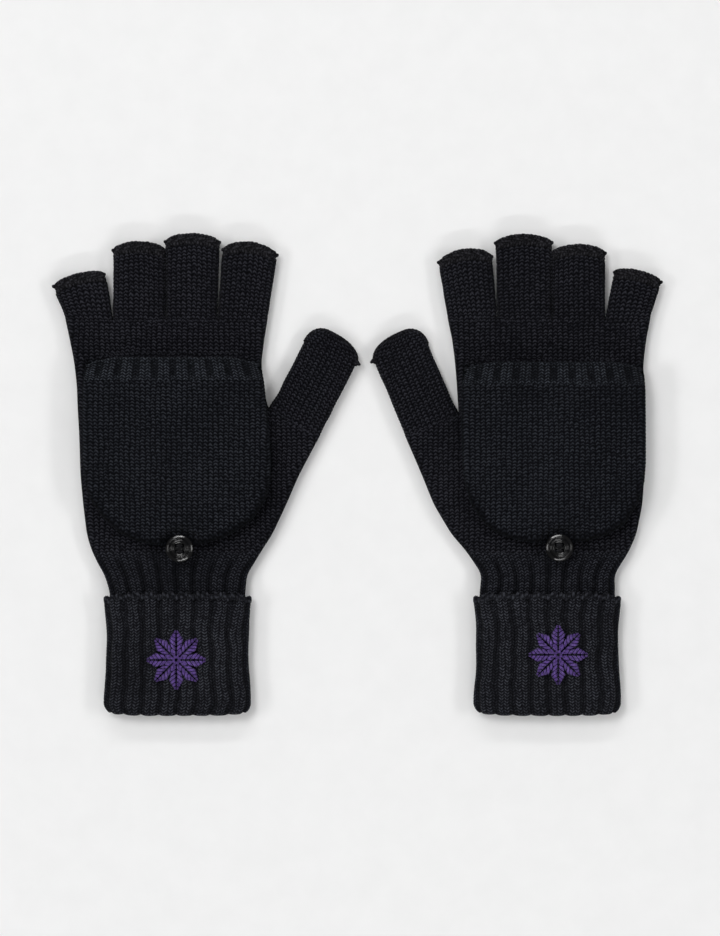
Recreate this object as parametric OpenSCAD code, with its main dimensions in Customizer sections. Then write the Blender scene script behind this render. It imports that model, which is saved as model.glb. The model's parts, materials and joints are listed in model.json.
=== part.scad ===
// A pair of knitted convertible flip-top mittens, lying flat with the palms down.
// Left-hand mitten on the -X side, right-hand mitten on the +X side, fingers along +Y.
// The origin is on the resting plane, under the middle of the pair.

/* [Pair] */
// Distance from the middle to the centre line of the left-hand mitten's cuff
left_centre = 90.1; // [85:0.1:140]
// Distance from the middle to the centre line of the right-hand mitten's cuff
right_centre = 95; // [85:0.1:140]

/* [Fabric] */
// Thickness of the knitted wall of the hand and the wrist
hand_wall = 1.5; // [1:0.1:1.5]
// Thickness of the knitted wall of the finger and thumb stalls
stall_wall = 1.2; // [0.8:0.1:1.2]
// Thickness of each panel of the flap
panel_wall = 1.2; // [0.8:0.1:1.4]
// Thickness of the ribbed welt at the mouth of the flap
welt_wall = 1.6; // [1.4:0.1:1.8]

/* [Hand] */
// Thickness of the hand as it lies flat
hand_thick = 7.2; // [7.2:0.1:8]
// Height of the line where the finger stalls begin
knuckle_y = 79; // [76:0.5:82]
// Height of the line where the palm turns into the wrist rib
wrist_y = -46; // [-50:0.5:-44]

/* [Fingers] */
// Width of the little, ring, middle and index stalls of the left-hand mitten
left_finger_w = [24.4, 26.2, 26.4, 26.2]; // [20:0.1:28]
// Width of the little, ring, middle and index stalls of the right-hand mitten
right_finger_w = [22.6, 26.6, 27.2, 25.6]; // [20:0.1:28]
// Lean of each stall of the left-hand mitten towards the thumb, in degrees
left_finger_lean = [-16, 0, 0, 7]; // [-20:0.5:12]
// Lean of each stall of the right-hand mitten towards the thumb, in degrees
right_finger_lean = [-14.5, 0, 0, 8]; // [-20:0.5:12]
// Height of the open end of each stall of the left-hand mitten
left_finger_top = [98, 114, 120, 113]; // [90:0.1:125]
// Height of the open end of each stall of the right-hand mitten
right_finger_top = [99.6, 112.6, 119.6, 109.4]; // [90:0.1:125]
// Length of the crocheted edge band on each stall
band_len = 5; // [3:0.5:7]
// Gap left for the bend at the foot of each stall
bend_gap = 1.8; // [1.7:0.1:3]

/* [Thumb] */
// Lean of each thumb away from the fingers, left and right mitten, in degrees
thumb_lean = [26.5, 22]; // [15:0.5:30]
// Width of the thumb stall
thumb_w = 29; // [24:0.1:30]
// Length of the thumb stall from its foot to the tip seam
thumb_len = 42; // [38:0.5:44]

/* [Flap] */
// Thickness of the pocket flap as it lies flat
flap_thick = 7; // [7:0.1:8]
// Air gap between the flap and the back of the hand
flap_gap = 0.3; // [0.3:0.05:1]
// Height of the flap's hinge line, left and right mitten
flap_hinge_y = [58, 55.8]; // [52:0.1:60]
// Length of the ribbed welt at the flap's mouth
welt_len = 12.5; // [8:0.5:16]
// Number of ridges across the welt
welt_ridges = 10; // [6:1:14]

/* [Button] */
// Diameter of the button
button_d = 14; // [10:0.1:16]
// Height of the button's edge
button_h = 3.2; // [2.4:0.1:3.6]
// Diameter of each of the four holes
hole_d = 1.9; // [1.5:0.1:2.2]
// Distance of each hole from the centre
hole_r = 2.05; // [1.8:0.05:2.6]

/* [Cuff] */
// Thickness of the doubled cuff as it lies flat
cuff_thick = 10.6; // [10.6:0.1:12]
// Half width of the cuff
cuff_half = 36.9; // [34:0.1:42]
// Height of the free edge of the turned-up cuff
cuff_top_y = -57; // [-60:0.5:-55]
// Height of the fold at the bottom of the cuff
cuff_fold_y = -120.4; // [-125:0.1:-110]
// Distance across the embroidered star
star_d = 31; // [20:0.5:40]
// Thickness of the embroidered thread
star_h = 0.7; // [0.4:0.1:1]

/* [Hidden] */

$fn = 48;
arc_steps = 6; // facets on each half-round side of a flattened tube
eps = 0.05;
clear = 0.3;

yarn = [0.10, 0.11, 0.12];
yarn_light = [0.16, 0.17, 0.19];
flap_yarn = [0.09, 0.12, 0.13];
gloss_black = [0.03, 0.03, 0.03];
purple = [0.36, 0.22, 0.60];

LITTLE = 0;
RING = 1;
MIDDLE = 2;
INDEX = 3;

// Outline of each hand: [height, edge on the little-finger side, edge on the thumb side].
hand_outline = [
    [[-46, -39.4, 37.4], [-38, -43.2, 42.2], [-30, -45.6, 47.4], [-15, -47.4, 54.4],
     [0, -48.8, 60.9], [20.1, -49.4, 71.6], [27, -49.8, 58.4], [33.4, -50.2, 45.5],
     [45, -50.6, 42.3], [57, -52, 42], [68, -54.2, 43.4], [79, -56.6, 45.2]],
    [[-46, -36.4, 35.4], [-38, -41.4, 40.8], [-30, -44.8, 47.9], [-15, -47.8, 56.8],
     [0, -48.8, 62.8], [19.9, -48.8, 71.4], [25.5, -48.6, 58], [31, -48.4, 44.4],
     [45, -48, 45.2], [57, -48.4, 46.2], [68, -49.8, 47.6], [79, -52, 50]]];
// Point between the thumb and the hand.
thumb_root = [[45.5, 33.4], [44.3, 31.2]];
// Edges between neighbouring finger stalls at the knuckle line, from the little finger on.
finger_edges = [[-57, -32.4, -6.2, 20.2, 45.4], [-52.2, -29.4, -2.4, 25.2, 50.2]];
// Outline of each flap, from its mouth to its tip.
flap_outline = [
    [[0, -46.6, 42.4], [-14, -47, 43.6], [-32, -47.2, 45.6], [-50, -47.2, 46.9],
     [-60, -46.4, 46.6], [-70, -43.8, 44.6], [-80, -36.6, 38.2], [-87, -29, 28.6],
     [-91.5, -20, 18], [-93.2, -12, 10]],
    [[0, -48.4, 43], [-14, -48.6, 43.2], [-32, -48.8, 43.2], [-50, -48.8, 42.6],
     [-60, -48, 41.4], [-70, -45, 38.6], [-80, -38.6, 32], [-85, -31.6, 25.6],
     [-88.6, -22, 15.6], [-90, -14, 8]]];
button_at = [[1.3, -36.9], [-5.7, -36.5]];
star_at = [[-0.4, -92.6], [-5.2, -90]];

finger_w = [left_finger_w, right_finger_w];
finger_lean = [left_finger_lean, right_finger_lean];
finger_top = [left_finger_top, right_finger_top];
stall_lo = 0.3;
stall_hi = hand_thick - stall_lo;
stall_y = knuckle_y + bend_gap;

flap_lo = hand_thick + flap_gap;
flap_hi = flap_lo + flap_thick;
hinge_z = (flap_lo + flap_hi) / 2;
seam_wide = 2;
mouth_reach = 1.2;
mouth_drop = flap_thick / 2 - sqrt(pow(flap_thick / 2, 2) - pow(mouth_reach, 2));

button_lo = flap_lo + 3.1;
notch_r = button_d / 2 + 0.4;
shank_r = 1.5;
loop_r = 3.1;
loop_cord = 0.75;
dish_depth = 1;
dish_r = button_d / 2 - 2;

wrist_lo = 1.6;
wrist_hi = wrist_lo + 7.4;
wrist_half = 33.9;
fold_len = 1.6;

// ---------- shapes ----------

// One flattened section with half-round sides. The section may lean: each point is
// raised by slope for every millimetre away from the middle.
function section(y, x0, x1, z0, z1, slope = 0) =
    let (r = min((z1 - z0) / 2, (x1 - x0) / 2))
    let (xm = (x0 + x1) / 2)
    let (zm = (z0 + z1) / 2)
    let (h = (z1 - z0) / 2)
    [for (side = [1, -1])
        for (i = [0:arc_steps])
            let (a = side * (-90 + 180 * i / arc_steps))
            let (x = (side > 0 ? x1 - r : x0 + r) + side * r * cos(a))
            [x, y + slope * (x - xm), zm + h * sin(a)]];

// Faces between sections k and k + 1 of n points each, turned inwards if flip is true.
function skin(n, k, first, flip) =
    [for (i = [0:n - 1])
        let (a = first + k * n + i)
        let (b = first + k * n + (i + 1) % n)
        for (t = [[a, b, b + n], [a, b + n, a + n]])
            flip ? [t[2], t[1], t[0]] : t];

// A closed solid through a list of sections that all have the same number of points.
module loft(rings) {
    n = len(rings[0]);
    last = len(rings) - 1;
    first_cap = [for (i = [n - 1:-1:0]) i];
    last_cap = [for (i = [0:n - 1]) last * n + i];
    polyhedron(
        points = [for (r = rings) for (p = r) p],
        faces = concat([for (k = [0:last - 1]) each skin(n, k, 0, false)], [first_cap, last_cap]),
        convexity = 8);
}

// A tube with a wall between outer and inner sections, open at the first section. It is
// open at the last one too, unless closed is true.
module tube(outer, inner, closed = false) {
    n = len(outer[0]);
    m = len(outer) - 1;
    inside = (m + 1) * n;
    far_in = inside + (len(inner) - 1) * n;
    first_rim = [for (i = [0:n - 1])
        let (j = (i + 1) % n)
        for (t = [[j, i, inside + i], [j, inside + i, inside + j]])
            t];
    last_rim = [for (i = [0:n - 1])
        let (j = (i + 1) % n)
        for (t = [[m * n + i, m * n + j, far_in + j], [m * n + i, far_in + j, far_in + i]])
            t];
    caps = [[for (i = [0:n - 1]) m * n + i], [for (i = [n - 1:-1:0]) far_in + i]];
    polyhedron(
        points = concat([for (r = outer) for (p = r) p], [for (r = inner) for (p = r) p]),
        faces = concat(
            [for (k = [0:m - 1]) each skin(n, k, 0, false)],
            [for (k = [0:len(inner) - 2]) each skin(n, k, inside, true)],
            first_rim,
            closed ? caps : last_rim),
        convexity = 8);
}

// Sections over an outline of [height, low edge, high edge] rows.
function outline_rings(outline, inset, z0, z1) =
    [for (o = outline) section(o[0], o[1] + inset, o[2] - inset, z0, z1)];

// Puts a mitten's own frame in place: the thumb is on its +X side in both.
module place(s) {
    if (s == 0) {
        translate([-left_centre, 0, 0])
            children();
    } else {
        translate([right_centre, 0, 0])
            mirror([1, 0, 0])
                children();
    }
}

// ---------- fingers ----------

function finger_mid(s, f) = (finger_edges[s][f] + finger_edges[s][f + 1]) / 2;

// A tube section of one finger at a height, with its open end square to its lean.
function finger_ring(s, f, y, grow, z0, z1) =
    let (lean = tan(finger_lean[s][f]))
    let (along = (y - stall_y) / (finger_top[s][f] - stall_y))
    let (x = finger_mid(s, f) + (y - stall_y) * lean)
    let (half = finger_w[s][f] / 2 - 0.6 + grow)
    section(y, x - half, x + half, z0, z1, -lean * max(0, min(1.2, along)));

module finger_tube(s, f, y0, y1, grow, z0, z1, wall) {
    heights = [y0, (y0 + y1) / 2, y1];
    tube(
        [for (y = heights) finger_ring(s, f, y, grow, z0, z1)],
        [for (y = heights) finger_ring(s, f, y, grow - wall, z0 + wall, z1 - wall)]);
}

module stall(s, f) {
    finger_tube(s, f, stall_y, finger_top[s][f] - band_len, 0, stall_lo, stall_hi, stall_wall);
}

module band(s, f) {
    finger_tube(s, f, finger_top[s][f] - band_len, finger_top[s][f], 0.4, 0, hand_thick,
        stall_wall + stall_lo);
}

// ---------- thumb ----------

// Moves to the point between thumb and hand, with +Y along the thumb.
module thumb_frame(s) {
    translate([thumb_root[s][0], thumb_root[s][1], 0])
        rotate([0, 0, -thumb_lean[s]])
            children();
}

// Rows of the thumb stall: [distance from its foot, inner edge, outer edge], the edges
// as shares of its width.
thumb_rows = [[bend_gap, 0.01, 1.01], [12, 0.015, 1.01], [24, 0.02, 1.01], [36, 0.02, 1]];

function thumb_rings(wall) =
    [for (r = concat(thumb_rows, [[thumb_len - wall, 0.05, 0.96]]))
        section(r[0], r[1] * thumb_w + wall, r[2] * thumb_w - wall,
            stall_lo + wall, stall_hi - wall)];

module thumb_stall(s) {
    thumb_frame(s)
        tube(thumb_rings(0), thumb_rings(stall_wall), closed = true);
}

module thumb_tip_seam(s) {
    thumb_frame(s)
        loft([
            section(thumb_len + 0.02, 0.03 * thumb_w, 0.98 * thumb_w, 0.2, hand_thick - 0.2),
            section(thumb_len + 2.5, 0.12 * thumb_w, 0.9 * thumb_w, 0.5, hand_thick - 0.5),
            section(thumb_len + 5.2, 0.3 * thumb_w, 0.72 * thumb_w, 1.6, hand_thick - 1.6)]);
}

// ---------- hand and wrist ----------

module hand_shell(s) {
    difference() {
        tube(
            outline_rings(hand_outline[s], 0, 0, hand_thick),
            outline_rings(hand_outline[s], hand_wall, hand_wall, hand_thick - hand_wall));
        // way through into the thumb
        thumb_frame(s)
            loft([for (y = [-8, 2])
                section(y, 2.5, 26, hand_wall + 0.1, hand_thick - hand_wall - 0.1)]);
        // groove for the picked-up row that carries the flap
        flap_seam_bar(s, 0.02);
    }
}

module flap_seam_bar(s, grow) {
    o = flap_outline[s][0];
    translate([o[1] + 6 - grow, flap_hinge_y[s] - 1.5 - grow, hand_thick - 0.7 - grow])
        cube([o[2] - o[1] - 12 + 2 * grow, 3 + 2 * grow, 0.7 + 2 * grow]);
}

function wrist_rings(s, wall) =
    let (top = hand_outline[s][0])
    [for (r = [
        [cuff_fold_y + fold_len + eps, -wrist_half, wrist_half, wrist_lo, wrist_hi],
        [cuff_top_y - 2, -wrist_half, wrist_half, wrist_lo, wrist_hi],
        [wrist_y - 4, top[1] + 2.6, top[2] - 2.6, 0.5, hand_thick + 0.4],
        [wrist_y - eps, top[1], top[2], 0, hand_thick]])
        section(r[0], r[1] + wall, r[2] - wall, r[3] + wall, r[4] - wall)];

module wrist_rib(s) {
    tube(wrist_rings(s, 0), wrist_rings(s, hand_wall));
}

module cuff(s) {
    inner_lo = wrist_lo - 0.1;
    inner_hi = wrist_hi + 0.1;
    difference() {
        // turned-up outside, bowed at the fold
        loft([
            section(cuff_fold_y, -cuff_half + 9, cuff_half - 9, 1, cuff_thick - 1),
            section(cuff_fold_y + 1.2, -cuff_half + 4, cuff_half - 4, 0, cuff_thick),
            section(cuff_fold_y + 3.6, -cuff_half + 0.6, cuff_half - 0.6, 0, cuff_thick),
            section(cuff_fold_y + 26, -cuff_half + 1, cuff_half - 1, 0, cuff_thick),
            section(cuff_top_y - 2, -cuff_half, cuff_half, 0, cuff_thick)]);
        // room for the wrist rib that runs down inside to the fold
        loft([for (y = [cuff_fold_y + fold_len, cuff_top_y])
            section(y, -wrist_half - 0.1, wrist_half + 0.1, inner_lo, inner_hi)]);
        // the mouth through the fold
        loft([for (y = [cuff_fold_y - 1, cuff_fold_y + fold_len + 1])
            section(y, -wrist_half + 9, wrist_half - 9,
                wrist_lo + hand_wall, wrist_hi - hand_wall)]);
    }
}

module cuff_edge(s) {
    heights = [cuff_top_y - 2 + eps, cuff_top_y];
    tube(
        [for (y = heights) section(y, -cuff_half - 0.2, cuff_half + 0.2, 0, cuff_thick + 0.2)],
        [for (y = heights)
            section(y, -wrist_half - 0.5, wrist_half + 0.5, wrist_lo - 0.4, wrist_hi + 0.4)]);
}

module cuff_star(s) {
    r = star_d / 2;
    translate([star_at[s][0], star_at[s][1], cuff_thick])
        linear_extrude(star_h)
            for (i = [0:7])
                rotate([0, 0, 45 * i])
                    polygon([[0.9, 0], [r * 0.52, -r * 0.19], [r, 0], [r * 0.52, r * 0.19]]);
}

// ---------- flap ----------

// The whole flap as one solid, smaller by inset round its edge and by skin on each face.
module flap_shape(s, inset, skin, extra) {
    rows = flap_outline[s];
    last = len(rows) - 1;
    z0 = flap_lo + skin;
    z1 = flap_hi - skin;
    mouth = rows[0];
    translate([0, flap_hinge_y[s], 0])
        loft(concat(
            [for (i = [last:-1:0])
                let (o = rows[i])
                let (thin = i == last ? 1.2 : i == last - 1 ? 0.4 : 0)
                section(o[0] + (i > last - 3 ? inset : 0), o[1] + inset, o[2] - inset,
                    z0 + thin, z1 - thin)],
            [section(mouth_reach + extra, mouth[1] + 0.3 + inset, mouth[2] - 0.3 - inset,
                z0 + mouth_drop, z1 - mouth_drop)]));
}

module flap_slice(s, z0, z1, y0, y1) {
    difference() {
        intersection() {
            flap_shape(s, 0, 0, 0);
            translate([-60, flap_hinge_y[s] + y0, z0])
                cube([120, y1 - y0, z1 - z0]);
        }
        translate([button_at[s][0], button_at[s][1], 0])
            cylinder(r = notch_r, h = 30);
    }
}

module flap_back_panel(s) {
    flap_slice(s, flap_lo - 1, flap_lo + panel_wall, -120, 0);
}

module flap_palm_panel(s) {
    flap_slice(s, flap_hi - panel_wall, flap_hi + 1, -120, -welt_len);
}

module flap_side_seam(s) {
    difference() {
        flap_slice(s, flap_lo + panel_wall, flap_hi - panel_wall, -120, -welt_len);
        flap_shape(s, seam_wide, panel_wall - eps, 2);
    }
}

module flap_rib_welt(s) {
    mouth = flap_outline[s][0];
    pitch = (mouth[2] - mouth[1] - 6) / welt_ridges;
    difference() {
        flap_slice(s, flap_hi - welt_wall, flap_hi + 1, -welt_len + eps, 4);
        for (i = [0:welt_ridges])
            translate([mouth[1] + 3 + i * pitch, flap_hinge_y[s] - welt_len - 1, flap_hi + 0.9])
                rotate([-90, 0, 0])
                    cylinder(r = 1.5, h = welt_len - 1);
    }
}

module flap_seam(s) {
    flap_seam_bar(s, 0);
}

// ---------- button ----------

module at_button(s) {
    translate([button_at[s][0], button_at[s][1], 0])
        children();
}

module button(s) {
    r = button_d / 2;
    at_button(s)
        difference() {
            translate([0, 0, button_lo])
                rotate_extrude()
                    polygon([[0, 0], [r - 1, 0], [r, 0.9], [r, button_h - 0.9],
                        [r - 0.5, button_h - 0.25], [r - 1.1, button_h], [dish_r + 0.3, button_h - 0.1],
                        [dish_r - 0.5, button_h - dish_depth], [0, button_h - dish_depth]]);
            for (a = [45:90:315])
                rotate([0, 0, a])
                    translate([hole_r, 0, button_lo - 1])
                        cylinder(d = hole_d, h = button_h + 2, $fn = 24);
        }
}

module button_stitch(s) {
    floor_z = button_lo + button_h - dish_depth;
    post_r = hole_d / 2 - 0.25;
    off = hole_r * sqrt(0.5);
    at_button(s)
        for (side = [-1, 1])
            translate([0, side * off, 0])
                union() {
                    for (end = [-1, 1])
                        translate([end * off, 0, button_lo + 0.1])
                            cylinder(r = post_r, h = button_h - dish_depth + 0.3, $fn = 24);
                    translate([-off, -post_r, floor_z + eps])
                        cube([2 * off, 2 * post_r, 0.6]);
                }
}

module button_shank(s) {
    at_button(s)
        translate([0, 0, hand_thick])
            cylinder(r = shank_r, h = button_lo - hand_thick - clear);
}

module button_loop(s) {
    z = hand_thick + 1.8;
    at_button(s) {
        translate([0, 0, z])
            rotate_extrude()
                translate([loop_r, 0])
                    circle(r = loop_cord, $fn = 24);
        for (side = [-1, 1])
            translate([side * 1.6, 2.4, z])
                rotate([-90, 0, 0])
                    cylinder(r = loop_cord, h = notch_r - 2.9, $fn = 24);
    }
}

// ---------- named pieces ----------

module left_hand_shell() color(yarn) place(0) hand_shell(0);
module left_wrist_rib() color(yarn_light) place(0) wrist_rib(0);
module left_cuff() color(yarn_light) place(0) cuff(0);
module left_cuff_edge() color(yarn) place(0) cuff_edge(0);
module left_cuff_star() color(purple) place(0) cuff_star(0);
module left_flap_seam() color(yarn) place(0) flap_seam(0);
module left_button_shank() color(gloss_black) place(0) button_shank(0);
module left_button() color(gloss_black) place(0) button(0);
module left_button_stitch() color(yarn) place(0) button_stitch(0);
module left_little_stall() color(yarn) place(0) stall(0, LITTLE);
module left_little_band() color(yarn_light) place(0) band(0, LITTLE);
module left_ring_stall() color(yarn) place(0) stall(0, RING);
module left_ring_band() color(yarn_light) place(0) band(0, RING);
module left_middle_stall() color(yarn) place(0) stall(0, MIDDLE);
module left_middle_band() color(yarn_light) place(0) band(0, MIDDLE);
module left_index_stall() color(yarn) place(0) stall(0, INDEX);
module left_index_band() color(yarn_light) place(0) band(0, INDEX);
module left_thumb_stall() color(yarn) place(0) thumb_stall(0);
module left_thumb_tip_seam() color(yarn_light) place(0) thumb_tip_seam(0);
module left_flap_back_panel() color(flap_yarn) place(0) flap_back_panel(0);
module left_flap_palm_panel() color(flap_yarn) place(0) flap_palm_panel(0);
module left_flap_side_seam() color(flap_yarn) place(0) flap_side_seam(0);
module left_flap_rib_welt() color(yarn_light) place(0) flap_rib_welt(0);
module left_button_loop() color(yarn) place(0) button_loop(0);

module right_hand_shell() color(yarn) place(1) hand_shell(1);
module right_wrist_rib() color(yarn_light) place(1) wrist_rib(1);
module right_cuff() color(yarn_light) place(1) cuff(1);
module right_cuff_edge() color(yarn) place(1) cuff_edge(1);
module right_cuff_star() color(purple) place(1) cuff_star(1);
module right_flap_seam() color(yarn) place(1) flap_seam(1);
module right_button_shank() color(gloss_black) place(1) button_shank(1);
module right_button() color(gloss_black) place(1) button(1);
module right_button_stitch() color(yarn) place(1) button_stitch(1);
module right_little_stall() color(yarn) place(1) stall(1, LITTLE);
module right_little_band() color(yarn_light) place(1) band(1, LITTLE);
module right_ring_stall() color(yarn) place(1) stall(1, RING);
module right_ring_band() color(yarn_light) place(1) band(1, RING);
module right_middle_stall() color(yarn) place(1) stall(1, MIDDLE);
module right_middle_band() color(yarn_light) place(1) band(1, MIDDLE);
module right_index_stall() color(yarn) place(1) stall(1, INDEX);
module right_index_band() color(yarn_light) place(1) band(1, INDEX);
module right_thumb_stall() color(yarn) place(1) thumb_stall(1);
module right_thumb_tip_seam() color(yarn_light) place(1) thumb_tip_seam(1);
module right_flap_back_panel() color(flap_yarn) place(1) flap_back_panel(1);
module right_flap_palm_panel() color(flap_yarn) place(1) flap_palm_panel(1);
module right_flap_side_seam() color(flap_yarn) place(1) flap_side_seam(1);
module right_flap_rib_welt() color(yarn_light) place(1) flap_rib_welt(1);
module right_button_loop() color(yarn) place(1) button_loop(1);

left_hand_shell();
left_wrist_rib();
left_cuff();
left_cuff_edge();
left_cuff_star();
left_flap_seam();
left_button_shank();
left_button();
left_button_stitch();
left_little_stall();
left_little_band();
left_ring_stall();
left_ring_band();
left_middle_stall();
left_middle_band();
left_index_stall();
left_index_band();
left_thumb_stall();
left_thumb_tip_seam();
left_flap_back_panel();
left_flap_palm_panel();
left_flap_side_seam();
left_flap_rib_welt();
left_button_loop();
right_hand_shell();
right_wrist_rib();
right_cuff();
right_cuff_edge();
right_cuff_star();
right_flap_seam();
right_button_shank();
right_button();
right_button_stitch();
right_little_stall();
right_little_band();
right_ring_stall();
right_ring_band();
right_middle_stall();
right_middle_band();
right_index_stall();
right_index_band();
right_thumb_stall();
right_thumb_tip_seam();
right_flap_back_panel();
right_flap_palm_panel();
right_flap_side_seam();
right_flap_rib_welt();
right_button_loop();
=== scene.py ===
"""Looks of a pair of convertible flip-top mittens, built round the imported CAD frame."""
import json
import math

import bpy
import numpy as np
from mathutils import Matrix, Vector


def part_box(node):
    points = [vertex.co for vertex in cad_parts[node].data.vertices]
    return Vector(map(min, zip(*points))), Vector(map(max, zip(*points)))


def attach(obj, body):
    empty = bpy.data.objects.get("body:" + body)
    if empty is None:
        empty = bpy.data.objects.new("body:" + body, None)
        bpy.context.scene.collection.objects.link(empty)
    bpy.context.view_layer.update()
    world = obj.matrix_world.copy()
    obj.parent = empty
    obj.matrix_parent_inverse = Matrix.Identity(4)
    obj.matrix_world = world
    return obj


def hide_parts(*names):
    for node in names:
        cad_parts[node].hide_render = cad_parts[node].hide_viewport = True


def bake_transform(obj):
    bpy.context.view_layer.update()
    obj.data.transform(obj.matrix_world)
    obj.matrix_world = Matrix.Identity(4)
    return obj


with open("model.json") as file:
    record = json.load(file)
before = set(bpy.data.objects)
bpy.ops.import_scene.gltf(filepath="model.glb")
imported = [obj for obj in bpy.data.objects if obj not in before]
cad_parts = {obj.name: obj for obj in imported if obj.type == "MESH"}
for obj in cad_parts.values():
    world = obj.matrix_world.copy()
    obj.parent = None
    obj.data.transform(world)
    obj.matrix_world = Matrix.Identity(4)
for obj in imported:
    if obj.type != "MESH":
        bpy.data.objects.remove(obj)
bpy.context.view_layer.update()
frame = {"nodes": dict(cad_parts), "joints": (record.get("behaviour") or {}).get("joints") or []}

# ---------- sizes, in millimetres unless a name says otherwise ----------

MM = 0.001
TAU = 2 * math.pi
UP = np.array([0, 0, 1.0])
FORTH = np.array([0, 1.0, 0])
FLOOR_GAP = 0.02      # nothing lies lower than this
WALE = 2.6            # width of one knitted stitch
COURSE = 1.72         # height of one knitted stitch
RELIEF = 0.34         # how far a stitch stands up
FINE = 4              # mesh columns in one stitch
LEAN = -1.1           # how far a stitch's sides lie from its crown, in rows for one width
CROWN = 0.42          # where a stitch's crown is, as a share of its width
HAND_WALL = 1.5
STALL_WALL = 1.25
FLAP_WALL = 1.3
RIBS = 18             # ribs round the wrist, and round the cuff that turns up over it
RIB_TOP = 6.0         # how far the ribs reach up into the hand
RIB_COURSE = 1.5      # height of a row on the ribs
RIB_LEAN = -1.5       # LEAN on the ribs
GROOVE = 0.30         # share of a rib's width that its sunken stitches take
WELT_LEN = 10.4
WELT_RIBS = 10
FINGERS = ("little", "ring", "middle", "index")
SEEDS = {"left": 11, "right": 57}   # where each mitten's random draws start
EDGE_TALL = 4.6       # the crochet edge of an open finger
EDGE_ARCH = (2.2, 3.2, 3.0, 4.0)    # how far each finger's open end bows up in its middle
EDGE_DROP = (0.4, 0.9, 2.6, 1.2)    # and how far its corners sit under the CAD's end
# each row of an edge: its height as a share of the edge, its loops' slant, and how deep it sits
EDGE_ROWS = ((0.22, 0.9, -0.85), (0.62, -0.8, -0.75), (0.97, 0.12, -1.0))
TIP_GAPS = (None, -0.1, 0.9)   # room between neighbouring finger ends where they nearly touch
ROUNDING = 2.3        # how full the thumb's end is: 2 is an ellipse
STAR_POINTS = 8
HOLE_AT = 2.05        # from the button's middle to each of its holes
HOLE_R = 0.95
DISH = 0.62           # height of the button's dish, as a share of the whole button


def mm(v):
    return np.array(v, float) / MM


JOINTS = {j["name"]: j for j in frame["joints"]}


# ---------- small numeric helpers ----------

def wobble(x, y, size, seed):
    """Smooth noise between about -1 and 1, made of a few waves of random heading."""
    rng = np.random.RandomState(seed)
    total = np.zeros(np.broadcast(x, y).shape)
    for _ in range(5):
        heading = rng.uniform(0, TAU)
        wave = TAU / (size * rng.uniform(0.7, 1.5))
        shift = rng.uniform(0, TAU)
        total += np.sin(wave * (np.cos(heading) * x + np.sin(heading) * y) + shift)
    return total / 3.2


def smooth(t):
    t = np.clip(t, 0, 1)
    return t * t * (3 - 2 * t)


def unit(v):
    return v / np.maximum(np.linalg.norm(v, axis=1), 1e-9)[:, None]


def run_of(path):
    """Distance along a path to each of its points."""
    return np.concatenate([[0], np.cumsum(np.linalg.norm(np.diff(path, axis=0), axis=1))])


def round_way(ring):
    """Direction along a closed ring at each of its points."""
    return unit(np.roll(ring, -1, 0) - np.roll(ring, 1, 0))


def chaikin(points, times=2):
    """Rounds off an open polyline but keeps its two ends."""
    p = np.asarray(points, float)
    for _ in range(times):
        q = 0.75 * p[:-1] + 0.25 * p[1:]
        s = 0.25 * p[:-1] + 0.75 * p[1:]
        p = np.concatenate([p[:1], np.stack([q, s], 1).reshape(-1, 2), p[-1:]])
    return p


def dim(colour, k):
    return tuple(c * k for c in colour)


# ---------- stitches ----------

def loosen(u, v):
    """Stitch coordinates of loose knitting, whose rows and columns wander."""
    return (u + 0.09 * wobble(u, v, 2.6, 11) + 0.12 * wobble(u, v, 8.0, 12),
            v + 0.15 * wobble(u, v, 2.2, 13) + 0.20 * wobble(u, v, 7.0, 14))


def stitch_height(u, v, lean=LEAN):
    """Relief of even stocking stitch between 0 and 1, from stitch coordinates."""
    a = u - np.floor(u)
    column = 1 - 0.8 * np.abs(2 * a - 1) ** 3
    band = 0.5 + 0.5 * np.cos(TAU * (v + lean * np.abs(a - CROWN)))
    return column * (0.3 + 0.7 * band)


def knit_height(u, v):
    """Relief of loose stocking stitch between 0 and 1."""
    return stitch_height(*loosen(u, v))


def rib_cells(phase):
    """Stitch coordinate across ribs, three cells a rib: its groove, then two columns."""
    shifted = np.asarray(phase) + GROOVE / 2
    whole = np.floor(shifted)
    a = shifted - whole
    cell = np.where(a < GROOVE, a / GROOVE, 1 + 2 * (a - GROOVE) / (1 - GROOVE))
    return 3 * whole + cell


def rib_height(phase):
    """Round rib with a groove on each side, between 0 and 1; phase counts ribs."""
    return 1 - np.abs(2 * (phase - np.floor(phase)) - 1) ** 3


def rib_stitch(phase, v):
    """Stitch relief on ribs, between -1 and 0; none in the grooves."""
    cells = rib_cells(phase)
    on = (cells / 3 - np.floor(cells / 3)) * 3 > 1
    return np.where(on, stitch_height(cells, v, RIB_LEAN) - 1, -0.6)


# ---------- parts: (points, faces, uv), where a face that repeats its last corner is a triangle ----------

def lattice(rows, cols, loop_rows=False, loop_cols=False):
    """Quads of a grid of points, and the (row, column) each corner has before wrapping."""
    i = np.arange(rows if loop_rows else rows - 1)
    j = np.arange(cols if loop_cols else cols - 1)
    i, j = [a.ravel() for a in np.meshgrid(i, j, indexing="ij")]
    ii = np.stack([i, i, i + 1, i + 1], 1)
    jj = np.stack([j, j + 1, j + 1, j], 1)
    return (ii % rows) * cols + jj % cols, ii, jj


def woven(grid, u, v, loop_rows=False, loop_cols=False):
    """The part over a grid of points. u has a value for each column and v one for each row, and
    one more where the grid loops; u may also be a whole grid."""
    faces, ii, jj = lattice(*grid.shape[:2], loop_rows, loop_cols)
    u, v = np.asarray(u, float), np.asarray(v, float)
    across = u[ii, jj] if u.ndim == 2 else u[jj]
    return grid.reshape(-1, 3), faces, np.stack([across, v[ii]], 2)


def end_rows(rows, cols):
    """Point numbers of a grid's first and last rows, in the order that capped wants."""
    return np.arange(cols)[::-1], (rows - 1) * cols + np.arange(cols)


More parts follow.
